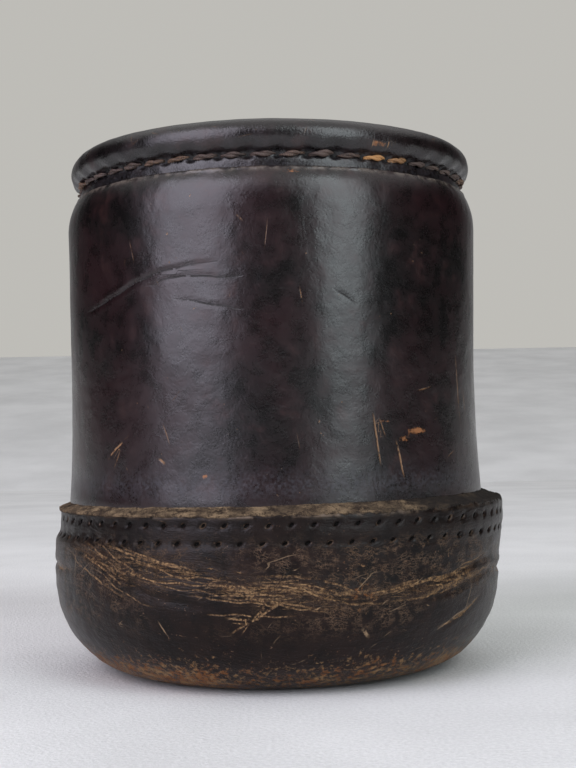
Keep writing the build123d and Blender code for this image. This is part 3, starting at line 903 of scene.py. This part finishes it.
def make_seam_thread():
    thread, steps = Thread(), 17
    for i in range(SEAM_STITCHES):
        height = SEAM_FIRST + i * SEAM_PITCH
        t = np.linspace(0, 1, steps)
        x = SEAM_HALF_WIDTH * (1 - 2 * t)
        bow = np.sin(math.pi * t) ** 0.5 * 0.75 - 0.75
        surface = np.sqrt(sleeve_radius(height) ** 2 - x**2)
        lean = 0.25 + rng.normal(0, 0.08)
        centre = np.stack((x, surface + 0.05 + bow, height + lean * (t - 0.5)), -1)
        side = np.tile((0.0, 1.0, 0.0), (steps, 1))
        up = np.tile((0.0, 0.0, 1.0), (steps, 1))
        worn, phase = 0.2 * rng.random(), any_phase()
        thread.stitch(centre, side, up, 0.25, 0.21, turns=1.7, worn=worn, phase=phase)
    return thread.piece("Seam_thread", "body_seam_thread", "base_thread")


# ---------------------------------------------------------------- the inside
def make_lining():
    skin_r, top = LINING_R, LINING_TOP
    points = line((LINING_OUTER_R, LINING_LOW), (LINING_OUTER_R, top), 12)
    points += line((LINING_OUTER_R, top), (skin_r, top), 1.5)
    points += line((skin_r, top), (skin_r, FACING_LOW), 0.9)
    points += line((skin_r, FACING_LOW), (skin_r, LINING_LOW), 3)
    points += line((skin_r, LINING_LOW), (LINING_OUTER_R, LINING_LOW), 1.5)
    skin = Skin(points, columns=320, first_bearing=180)
    inside = smoothstep(-0.2, -0.6, skin.nr)
    skin.push(inside * (0.10 * skin.noise(18, 2, 61) + 0.05 * skin.noise(4, 3, 62)))
    joint = hump(mm_from(skin.bearing, LINING_SEAM, skin_r), 0.35) * inside
    skin.push(-0.4 * joint)
    cuts = random_cuts(60, FACING_TOP + 1, top - 8, longest=5.0, upright=True)
    across, strength = line_marks(skin, skin_r, cuts)
    skin.marks = {
        "cut_across": across,
        "cut_strength": strength * inside,
        "rub": hump(skin.z - FACING_TOP - 4, 9),
        # Darkened in the material: the joint, and painted shade in the corner above the floor facing
        "dark": np.clip(joint + hump(skin.z - FACING_TOP, 0.9), 0, 1),
    }
    lining = finish_skin("Lining", skin)
    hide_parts("inner_lining")
    return lining


def make_floor_facing():
    edge = 0.4
    points = line((0, FACING_LOW), (FACING_R, FACING_LOW), 8)
    points += line((FACING_R, FACING_LOW), (FACING_R, FACING_TOP - edge), 0.4)
    points += arc((FACING_R - edge, FACING_TOP - edge), edge, edge, 0, 90, 0.2)
    points += line((FACING_R - edge, FACING_TOP), (0, FACING_TOP), 0.7)
    points += [np.array((0.0, FACING_TOP))]
    skin = Skin(points, columns=240)
    top = smoothstep(0.2, 0.8, skin.nz) * smoothstep(FACING_LOW, FACING_TOP, skin.z)
    away = smoothstep(FACING_R, FACING_R - 5, skin.r)
    dents = np.minimum(0, skin.noise(2.2, 2, 71) + 0.25)
    skin.push(top * (0.12 * away * skin.noise(14, 2, 72) - 0.05 + 0.16 * away * dents))
    skin.marks = {
        "cut_across": np.full(skin.bearing.shape, FAR_ACROSS),
        "cut_strength": np.zeros(skin.bearing.shape),
        "rub": away * 0.8,
        # Darkened in the material: painted shade where the facing meets the lining wall
        "dark": smoothstep(FACING_R - 2.5, FACING_R, skin.r),
    }
    facing = finish_skin("Floor_facing", skin)
    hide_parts("floor_facing")
    return facing


# ---------------------------------------------------------------- materials
class Graph:
    """A material's node tree, with one short method for each kind of node it uses."""

    def __init__(self, name):
        self.material = bpy.data.materials.new(name)
        self.material.use_nodes = True
        self.tree = self.material.node_tree
        self.tree.nodes.clear()
        self.shader = self.tree.nodes.new("ShaderNodeBsdfPrincipled")
        output = self.tree.nodes.new("ShaderNodeOutputMaterial")
        self.tree.links.new(self.shader.outputs[0], output.inputs[0])
        place = self.tree.nodes.new("ShaderNodeTexCoord").outputs["Object"]
        self.place = self.vector("SCALE", place, scale=1 / MM)

    def axes(self, vector):
        """The three parts of a vector."""
        node = self.tree.nodes.new("ShaderNodeSeparateXYZ")
        self.fill(node.inputs[0], vector)
        return node.outputs

    def fill(self, socket, value):
        """Links a socket to another, or sets its own value."""
        if isinstance(value, bpy.types.NodeSocket):
            self.tree.links.new(value, socket)
        elif value is not None:
            socket.default_value = value

    def vector(self, operation, a, b=None, scale=None):
        node = self.tree.nodes.new("ShaderNodeVectorMath")
        node.operation = operation
        self.fill(node.inputs[0], a)
        if b is not None:
            self.fill(node.inputs[1], b)
        if scale is not None:
            node.inputs["Scale"].default_value = scale
        return node.outputs["Vector"]

    def math(self, operation, a, b=None, c=None, clamp=False):
        node = self.tree.nodes.new("ShaderNodeMath")
        node.operation = operation
        node.use_clamp = clamp
        for socket, value in zip(node.inputs, (a, b, c)):
            self.fill(socket, value)
        return node.outputs[0]

    def times(self, a, b):
        return self.math("MULTIPLY", a, b)

    def scaled(self, a, factor, added):
        return self.math("MULTIPLY_ADD", a, factor, added)

    def weigh(self, a, share_a, b, share_b):
        """Two values, each times its own share, added up."""
        return self.scaled(a, share_a, self.times(b, share_b))

    def most(self, a, b):
        return self.math("MAXIMUM", a, b)

    def less(self, a, b, clamp=False):
        return self.math("SUBTRACT", a, b, clamp=clamp)

    def mark(self, name):
        node = self.tree.nodes.new("ShaderNodeAttribute")
        node.attribute_name = name
        return node.outputs["Fac"]

    def step(self, value, low, high, to_low=0.0, to_high=1.0):
        """A smooth step from to_low to to_high as value goes from low to high."""
        node = self.tree.nodes.new("ShaderNodeMapRange")
        node.interpolation_type = "SMOOTHSTEP"
        for socket, v in zip(node.inputs, (value, low, high, to_low, to_high)):
            self.fill(socket, v)
        return node.outputs[0]

    def texture(self, kind, size, place, **values):
        """A procedural texture whose features are about size millimetres across."""
        node = self.tree.nodes.new("ShaderNodeTex" + kind)
        self.fill(node.inputs["Vector"], place)
        for name, value in {"Scale": 1 / size, **values}.items():
            node.inputs[name].default_value = value
        return node

    def noise(self, size, detail=4, rough=0.55, stretch=None, place=None):
        where = place or self.place
        if stretch:
            where = self.vector("MULTIPLY", where, stretch)
        return self.texture("Noise", size, where, Detail=detail, Roughness=rough).outputs["Fac"]

    def spots(self, low, high, size, detail=4, rough=0.55):
        """Patches of noise, stepping from 0 to 1 between two of its levels."""
        return self.step(self.noise(size, detail, rough), low, high)

    def ragged(self, value, amount, size, detail, rough=0.55):
        """A value moved up and down by noise, so that a step in it has a torn edge."""
        return self.scaled(self.noise(size, detail, rough), amount, self.math("ADD", value, -amount / 2))

    def sway(self, amount, size):
        """The place, moved about by noise, for lines that wander."""
        shift = self.texture("Noise", size, self.place, Detail=2).outputs["Color"]
        shift = self.vector("SUBTRACT", shift, (0.5, 0.5, 0.5))
        return self.vector("ADD", self.place, self.vector("SCALE", shift, scale=amount))

    def mix(self, share, a, b):
        node = self.tree.nodes.new("ShaderNodeMix")
        node.data_type = "RGBA"
        self.fill(node.inputs["Factor"], share)
        self.fill(node.inputs["A"], (*a, 1.0) if isinstance(a, tuple) else a)
        self.fill(node.inputs["B"], (*b, 1.0) if isinstance(b, tuple) else b)
        return node.outputs["Result"]

    def paint(self, under, where, share, over):
        """A colour laid over another where a value says, as thickly as share says."""
        return self.mix(self.times(where, share), under, over)

    def roughen(self, rough, where, amount):
        return self.most(rough, self.times(where, amount))

    def bump(self, height, depth, before=None):
        """A bump whose height runs over depth millimetres."""
        node = self.tree.nodes.new("ShaderNodeBump")
        node.inputs["Strength"].default_value = 1.0
        node.inputs["Distance"].default_value = depth * MM
        self.fill(node.inputs["Height"], height)
        if before is not None:
            self.fill(node.inputs["Normal"], before)
        return node.outputs["Normal"]

    def dent(self, height, depth, before):
        """A bump that goes down where its height is 1."""
        return self.bump(self.less(1.0, height), depth, before)

    def lines(self, mark="cut"):
        """Drawn lines, frayed a little along their edges."""
        across = self.ragged(self.math("ABSOLUTE", self.mark(mark + "_across")), 1.2, 0.35, 3)
        shape = self.times(self.step(across, 1.2, 0.5), self.mark(mark + "_strength"))
        return self.times(shape, self.spots(0.30, 0.48, 1.1, 2))

    def grain(self, before, pebble, depth):
        """Fine leather grain: shallow pebbles and finer pores."""
        cells = self.texture("Voronoi", pebble, self.sway(0.5, 1.1))
        cells.feature = "DISTANCE_TO_EDGE"
        normal = self.bump(self.step(cells.outputs["Distance"], 0.0, 0.28), depth, before)
        return self.bump(self.noise(0.22, 3, 0.6), depth * 1.6, normal)

    def finish(self, colour, rough, normal, coat=0.0, coat_rough=0.2, specular=0.5):
        for socket, value in (
            ("Base Color", colour), ("Roughness", rough), ("Normal", normal), ("Coat Weight", coat),
            ("Coat Roughness", coat_rough), ("Specular IOR Level", specular),
        ):
            self.fill(self.shader.inputs[socket], value)
        return self.material


BLACK_BROWN = (0.0027, 0.0019, 0.0019)
BURGUNDY = (0.0130, 0.0042, 0.0052)
OXBLOOD = (0.024, 0.0085, 0.0075)
TAN = (0.29, 0.155, 0.070)
RUST = (0.30, 0.115, 0.035)
# A bluish grey, for wax bloom with a painted sheen laid in it
WAX_AND_SHEEN = (0.060, 0.060, 0.075)


def dark_leather(name, red, haze_and_sheen, pebble, depth):
    """The polished dark leather of the sleeve and the rim."""
    g = Graph(name)
    wide, mid, fine = g.noise(17, 3), g.noise(3.6, 5, 0.6), g.noise(0.5, 4, 0.6)
    tone = g.weigh(mid, 0.55, wide, 0.6)
    colour = g.mix(g.step(tone, 0.42, 0.72), BLACK_BROWN, red)
    colour = g.paint(colour, g.step(mid, 0.56, 0.72), 0.55, OXBLOOD)
    # A bluish-grey veil near the cap and on the rim's margin: partly wax bloom, partly painted sheen
    bloom_and_sheen = g.times(g.mark("haze_and_sheen"), g.step(fine, 0.38, 0.66))
    colour = g.paint(colour, bloom_and_sheen, haze_and_sheen, WAX_AND_SHEEN)
    specks = g.times(g.spots(0.735, 0.77, 0.8, 2), g.spots(0.48, 0.62, 9, 2))
    rubbed = g.step(g.weigh(g.mark("rub"), 0.62, fine, 0.6), 0.62, 0.86)
    colour = g.paint(colour, rubbed, 0.85, RUST)
    worn = g.most(g.lines(), g.times(specks, 0.55))
    colour = g.paint(colour, worn, 0.9, TAN)
    # Crease lines and pressed folds darkened towards black-brown: painted shade in the creases and folds
    crease = g.lines("crease")
    colour = g.mix(g.most(crease, g.times(g.mark("fold"), 0.3)), colour, BLACK_BROWN)
    # The sleeve's cut lip painted paler: the raw edge's own colour, with a painted highlight along it
    edge = g.times(g.mark("edge"), g.spots(0.36, 0.62, 1.4, 4))
    colour = g.paint(colour, edge, 0.55, (0.165, 0.135, 0.11))
    # Joints darkened, and painted shade in the stitch holes
    colour = g.paint(colour, g.mark("dark"), 0.92, (0.002, 0.0015, 0.0015))
    rough = g.scaled(mid, 0.24, 0.115)
    rough = g.scaled(g.noise(0.32, 3, 0.7), 0.10, rough)
    rough = g.scaled(bloom_and_sheen, 0.12, rough)
    rough = g.roughen(rough, g.most(worn, rubbed), 0.62)
    rough = g.roughen(rough, g.most(g.mark("dark"), crease), 0.8)
    normal = g.bump(g.less(g.noise(1.6, 2), worn), 0.035)
    normal = g.dent(crease, 0.07, normal)
    return g.finish(colour, rough, g.grain(normal, pebble, depth), coat=0.1, coat_rough=0.12)


def cap_leather():
    """The cap's leather, cracked, creased and rubbed through to the tan beneath."""
    g = Graph("Cap leather")
    # A place whose height is counted from the creases, so that noise in it runs along them
    swayed = g.axes(g.sway(0.9, 3.5))
    join = g.tree.nodes.new("ShaderNodeCombineXYZ")
    flow = g.scaled(g.noise(2.2, 3), 1.1, g.mark("flow"))
    for socket, value in zip(join.inputs, (swayed[0], swayed[1], flow)):
        g.fill(socket, value)
    along = join.outputs[0]
    wide, mid, fine = g.noise(12, 3), g.noise(2.6, 5, 0.62), g.noise(0.42, 4, 0.65)
    tone = g.step(g.weigh(mid, 0.6, wide, 0.5), 0.42, 0.68)
    colour = g.mix(tone, (0.0026, 0.0017, 0.0015), (0.0130, 0.0066, 0.0050))
    low = g.times(g.step(g.axes(g.place)[2], 17.0, 8.0), 0.55)
    colour = g.mix(low, colour, g.mix(mid, (0.0026, 0.0015, 0.0014), (0.0140, 0.0058, 0.0044)))
    # Long pale breaks that run with the creases
    streak = g.noise(1.0, 5, 0.62, (0.22, 0.22, 2.3), along)
    streak_fine = g.noise(1.0, 4, 0.60, (0.55, 0.55, 5.5), along)
    broken = g.mark("broken")
    breaks = g.step(g.less(streak, g.scaled(broken, -0.13, 0.70)), -0.005, 0.075)
    splits = g.step(g.less(streak_fine, g.scaled(broken, -0.14, 0.70)), 0.0, 0.06)
    breaks = g.times(g.most(breaks, g.times(splits, 0.8)), g.spots(0.28, 0.52, 0.9, 4))
    for layer in "abc":
        breaks = g.most(breaks, g.lines("strand_" + layer))
    breaks = g.times(breaks, g.step(g.noise(0.42, 3, 0.6), 0.34, 0.56, 0.30, 1.0))
    # A net of fine cracks
    net = 0.0
    for stretch in ((0.40, 0.40, 2.5), (0.75, 0.75, 2.1), (1.3, 1.3, 1.5)):
        from_line = g.math("ABSOLUTE", g.less(g.noise(1.15, 3, 0.5, stretch, along), 0.5))
        net = g.most(net, g.step(from_line, 0.024, 0.005))
    net = g.times(net, g.times(g.mark("craze"), g.spots(0.40, 0.60, 1.9, 4)))
    scuff = g.step(g.scaled(g.mark("scuff"), 0.27, g.noise(0.95, 6, 0.75)), 0.645, 0.765)
    specks = g.times(g.spots(0.68, 0.74, 0.45, 2), g.spots(0.42, 0.62, 3.5, 3))
    faint = g.step(g.weigh(g.mark("scuff"), 0.30, g.noise(5.0, 5, 0.65), 0.7), 0.42, 0.70)
    scratch = g.lines()
    veil = g.times(broken, g.spots(0.38, 0.66, 1.4, 5, 0.7))
    colour = g.paint(colour, veil, 0.42, (0.066, 0.034, 0.019))
    colour = g.paint(colour, faint, 0.26, (0.046, 0.020, 0.010))
    ochre = g.mix(g.spots(0.40, 0.60, 2.1, 3), (0.225, 0.088, 0.028), (0.30, 0.175, 0.080))
    colour = g.paint(colour, scuff, 0.80, ochre)
    colour = g.paint(colour, specks, 0.6, (0.22, 0.135, 0.085))
    colour = g.paint(colour, net, 0.62, (0.145, 0.088, 0.052))
    tan = g.mix(g.step(fine, 0.35, 0.7), (0.120, 0.060, 0.027), (0.38, 0.235, 0.115))
    colour = g.paint(colour, breaks, 0.88, tan)
    colour = g.paint(colour, scratch, 0.9, (0.40, 0.27, 0.16))
    colour = g.paint(colour, g.mark("band"), 0.50, (0.0065, 0.0040, 0.0035))
    # The outer corner of the cut edge painted pale, less on the right-hand side: burnished wear with a
    # painted highlight along it
    corner = g.times(g.mark("corner"), g.spots(0.45, 0.62, 2.2, 4))
    corner = g.times(corner, g.scaled(g.mark("darker_right"), -0.8, 1.0))
    colour = g.paint(colour, corner, 0.8, (0.16, 0.115, 0.08))
    # The raw cut edge, fibrous and stained, and darker towards the right-hand side
    fibre = g.weigh(g.noise(0.30, 4, 0.7), 0.45, g.noise(1.3, 5, 0.65, (0.6, 0.6, 1.4)), 0.55)
    raw = g.mix(g.step(fibre, 0.40, 0.60), (0.020, 0.012, 0.008), (0.245, 0.172, 0.102))
    raw = g.paint(raw, g.spots(0.40, 0.62, 3.2, 5, 0.65), 0.62, (0.034, 0.023, 0.016))
    raw = g.paint(raw, g.mark("darker_right"), 0.94, (0.012, 0.0095, 0.0085))
    edge = g.step(g.ragged(g.mark("edge"), 1.3, 1.5, 4, 0.65), -0.10, 0.12)
    colour = g.mix(edge, colour, raw)
    # The awl holes painted near black: painted shade in the holes
    hole = g.ragged(g.mark("hole"), 0.6, 0.5, 2)
    dark = g.step(hole, 1.35, 0.85)
    colour = g.mix(dark, colour, (0.0016, 0.0012, 0.001))
    lifted = g.times(g.step(hole, 2.1, 1.4), g.spots(0.5, 0.62, 1.7, 2))
    colour = g.paint(colour, g.less(lifted, dark, clamp=True), 0.34, (0.19, 0.12, 0.075))
    bare = g.most(g.most(breaks, scratch), g.times(scuff, 0.8))
    rough = g.scaled(mid, 0.26, 0.20)
    for where, amount in ((bare, 0.72), (edge, 0.92), (dark, 0.85)):
        rough = g.roughen(rough, where, amount)
    relief = g.weigh(streak, 0.9, net, -0.22)
    normal = g.bump(g.times(relief, g.scaled(broken, 0.75, 0.25)), 0.42)
    normal = g.bump(g.times(fibre, edge), 0.30, normal)
    normal = g.bump(g.less(g.noise(1.1, 4), bare), 0.07, normal)
    normal = g.dent(dark, 0.20, normal)
    return g.finish(colour, rough, g.grain(normal, 0.6, 0.010), specular=0.18)


def lining_leather():
    """The smooth tan-brown leather inside, rubbed by dice; dark at its joint, with painted shade in the
    corner where the wall meets the floor facing.
    """
    g = Graph("Lining leather")
    wide, mid, fine = g.noise(14, 3), g.noise(3.0, 5), g.noise(0.5, 4, 0.6)
    tone = g.step(g.weigh(mid, 0.6, wide, 0.5), 0.38, 0.72)
    colour = g.mix(tone, (0.060, 0.030, 0.016), (0.150, 0.080, 0.042))
    rub = g.times(g.mark("rub"), g.spots(0.4, 0.65, 4.0, 4))
    colour = g.paint(colour, rub, 0.55, (0.235, 0.145, 0.085))
    scratch = g.lines()
    colour = g.paint(colour, scratch, 0.6, (0.30, 0.19, 0.11))
    # The dark mark: the joint, and painted shade in the inside corner
    colour = g.paint(colour, g.mark("dark"), 0.85, (0.010, 0.006, 0.004))
    rough = g.scaled(fine, 0.2, 0.42)
    normal = g.bump(g.less(g.noise(1.5, 4), scratch), 0.07)
    return g.finish(colour, rough, g.grain(normal, 0.8, 0.015))


def thread_material(name, dark, light, worn_colour, gloss):
    """Waxed linen thread, its fibres showing where it is worn."""
    g = Graph(name)
    fibres = g.noise(0.16, 5, 0.7)
    colour = g.mix(g.step(g.weigh(fibres, 0.6, g.noise(2.5, 3), 0.4), 0.38, 0.62), dark, light)
    worn = g.step(g.weigh(g.mark("worn"), 0.55, fibres, 0.45), 0.42, 0.78)
    colour = g.mix(worn, colour, worn_colour)
    rough = g.scaled(fibres, 0.3, gloss)
    return g.finish(colour, rough, g.bump(fibres, 0.09))


def hidden_material(name, dark, light, size, stretch, depth):
    """Raw leather or hemp, for the pieces sealed inside."""
    g = Graph(name)
    grain = g.noise(size, 5, 0.6, stretch)
    colour = g.mix(g.step(grain, 0.35, 0.65), dark, light)
    rough = g.scaled(g.noise(0.5, 3), 0.2, 0.65)
    return g.finish(colour, rough, g.bump(grain, depth))


def cloth_floor():
    """The plain pale surface the cup stands on."""
    g = Graph("Floor")
    tone = g.weigh(g.noise(0.6, 4, 0.6), 0.5, g.noise(60, 3), 0.5)
    colour = g.mix(g.step(tone, 0.35, 0.65), (0.66, 0.66, 0.65), (0.80, 0.80, 0.79))
    return g.finish(colour, 0.9, g.bump(g.noise(0.7, 4, 0.6), 0.25), specular=0.2)


def cover(piece, material):
    piece.data.materials.clear()
    piece.data.materials.append(material)


# ---------------------------------------------------------------- stage, light and camera
def make_floor():
    reach, level_to, behind, rise = 2.6, 0.7, 1.6, 0.153
    sheet = bpy.data.meshes.new("Floor")
    corners = [(-reach, -reach, 0), (reach, -reach, 0), (reach, level_to, 0), (-reach, level_to, 0)]
    corners += [(reach, behind, rise), (-reach, behind, rise)]
    sheet.from_pydata(corners, [], [(0, 1, 2, 3), (3, 2, 4, 5)])
    floor = add_object("Floor", sheet)
    cover(floor, cloth_floor())


def softbox(name, bearing, distance, height, wide, tall, power, colour):
    """A large soft light at a bearing, facing the middle of the cup."""
    data = bpy.data.lights.new(name, "AREA")
    data.shape = "RECTANGLE"
    data.size, data.size_y = wide, tall
    data.energy = power
    data.color = colour
    light = add_object(name, data)
    a = math.radians(bearing)
    light.location = (distance * math.sin(a), -distance * math.cos(a), height)
    aim = Vector((0, 0, 0.05)) - light.location
    light.rotation_euler = aim.to_track_quat("-Z", "Y").to_euler()


def make_world():
    """Bright overhead and behind, dark in front between the two lights, and plain pale to the eye."""
    world = bpy.data.worlds.new("Studio")
    bpy.context.scene.world = world
    world.use_nodes = True
    tree = world.node_tree
    tree.nodes.clear()
    kinds = ("OutputWorld", "MixShader", "LightPath", "TexCoord", "SeparateXYZ", "Math")
    kinds += ("Background", "Background", "MapRange", "MapRange")
    nodes = [tree.nodes.new("ShaderNode" + kind) for kind in kinds]
    output, pick, eye, place, split, total, pale, room, behind, overhead = nodes
    pale.inputs["Color"].default_value = (0.515, 0.505, 0.475, 1)
    for ramp, values in ((behind, (0.66, 0.97, 0.012, 0.42)), (overhead, (0.48, 0.86, 0.0, 1.12))):
        ramp.interpolation_type = "SMOOTHSTEP"
        for socket, value in zip(ramp.inputs[1:5], values):
            socket.default_value = value
    for start, end in (
        (place.outputs["Generated"], split.inputs[0]),
        (split.outputs["Y"], behind.inputs[0]),
        (split.outputs["Z"], overhead.inputs[0]),
        (behind.outputs[0], total.inputs[0]),
        (overhead.outputs[0], total.inputs[1]),
        (total.outputs[0], room.inputs["Strength"]),
        (eye.outputs["Is Camera Ray"], pick.inputs[0]),
        (room.outputs[0], pick.inputs[1]),
        (pale.outputs[0], pick.inputs[2]),
        (pick.outputs[0], output.inputs[0]),
    ):
        tree.links.new(start, end)


def make_camera():
    """Low and close, a little off to one side and slightly rolled, as the cup is seen."""
    distance, eye, lens = 0.2243, 0.0403, 59.3
    pitch, roll, yaw = math.radians(2.1), math.radians(1.07), math.radians(0.63)
    data = bpy.data.cameras.new("Camera")
    data.lens = lens
    data.sensor_width = 36.0
    data.clip_start, data.clip_end = 0.01, 20
    camera = add_object("Camera", data)
    forward = Vector((math.sin(yaw) * math.cos(pitch), math.cos(yaw) * math.cos(pitch), math.sin(pitch)))
    right = Vector((math.cos(yaw), -math.sin(yaw), 0))
    up = right.cross(forward)
    level_right = right * math.cos(roll) - up * math.sin(roll)
    level_up = right * math.sin(roll) + up * math.cos(roll)
    turn = Matrix((level_right, level_up, -forward)).transposed()
    camera.matrix_world = Matrix.Translation((0, -distance, eye)) @ turn.to_4x4()
    bpy.context.scene.camera = camera


# ---------------------------------------------------------------- the cup
def dress(piece, material):
    cover(piece, material)
    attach(piece, "root")


make_camera()
make_floor()
make_world()
# Two windows, as (name, bearing, distance, height, width, height of the light, power, colour)
softbox("Window left", -44, 0.95, 0.54, 0.80, 0.98, 10.3, (0.94, 0.90, 1.05))
softbox("Window right", 38, 1.0, 0.55, 0.52, 1.00, 6.8, (0.92, 1.0, 1.04))

body_leather = dark_leather("Body leather", BURGUNDY, 0.55, 0.75, 0.005)
rim_leather = dark_leather("Rim leather", (0.011, 0.0065, 0.0068), 0.35, 0.6, 0.013)
linings = lining_leather()
rim_linen = thread_material(
    "Rim linen", (0.026, 0.016, 0.013), (0.092, 0.060, 0.048), (0.44, 0.22, 0.08), 0.42
)
base_linen = thread_material(
    "Base linen", (0.006, 0.0045, 0.004), (0.026, 0.018, 0.014), (0.10, 0.06, 0.035), 0.36
)

dress(make_sleeve(), body_leather)
dress(make_cap(), cap_leather())
dress(make_binding(), rim_leather)
dress(make_rim_thread(), rim_linen)
for row in make_base_threads():
    dress(row, base_linen)
dress(make_seam_thread(), base_linen)
dress(make_lining(), linings)
dress(make_floor_facing(), linings)

# The pieces sealed inside keep their CAD shape
sole = hidden_material("Sole leather", (0.20, 0.12, 0.065), (0.36, 0.235, 0.14), 1.6, (0.5, 0.5, 1.6), 0.12)
hemp = hidden_material("Hemp cord", (0.26, 0.20, 0.12), (0.46, 0.37, 0.24), 0.7, (1, 1, 0.4), 0.2)
cover(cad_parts["rim_core_cord"], hemp)
for node in ("bottom_lift_lower", "bottom_lift_middle", "bottom_lift_upper", "floor_disc"):
    cover(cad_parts[node], sole)

bpy.context.scene.view_settings.view_transform = "Standard"
bpy.context.view_layer.update()
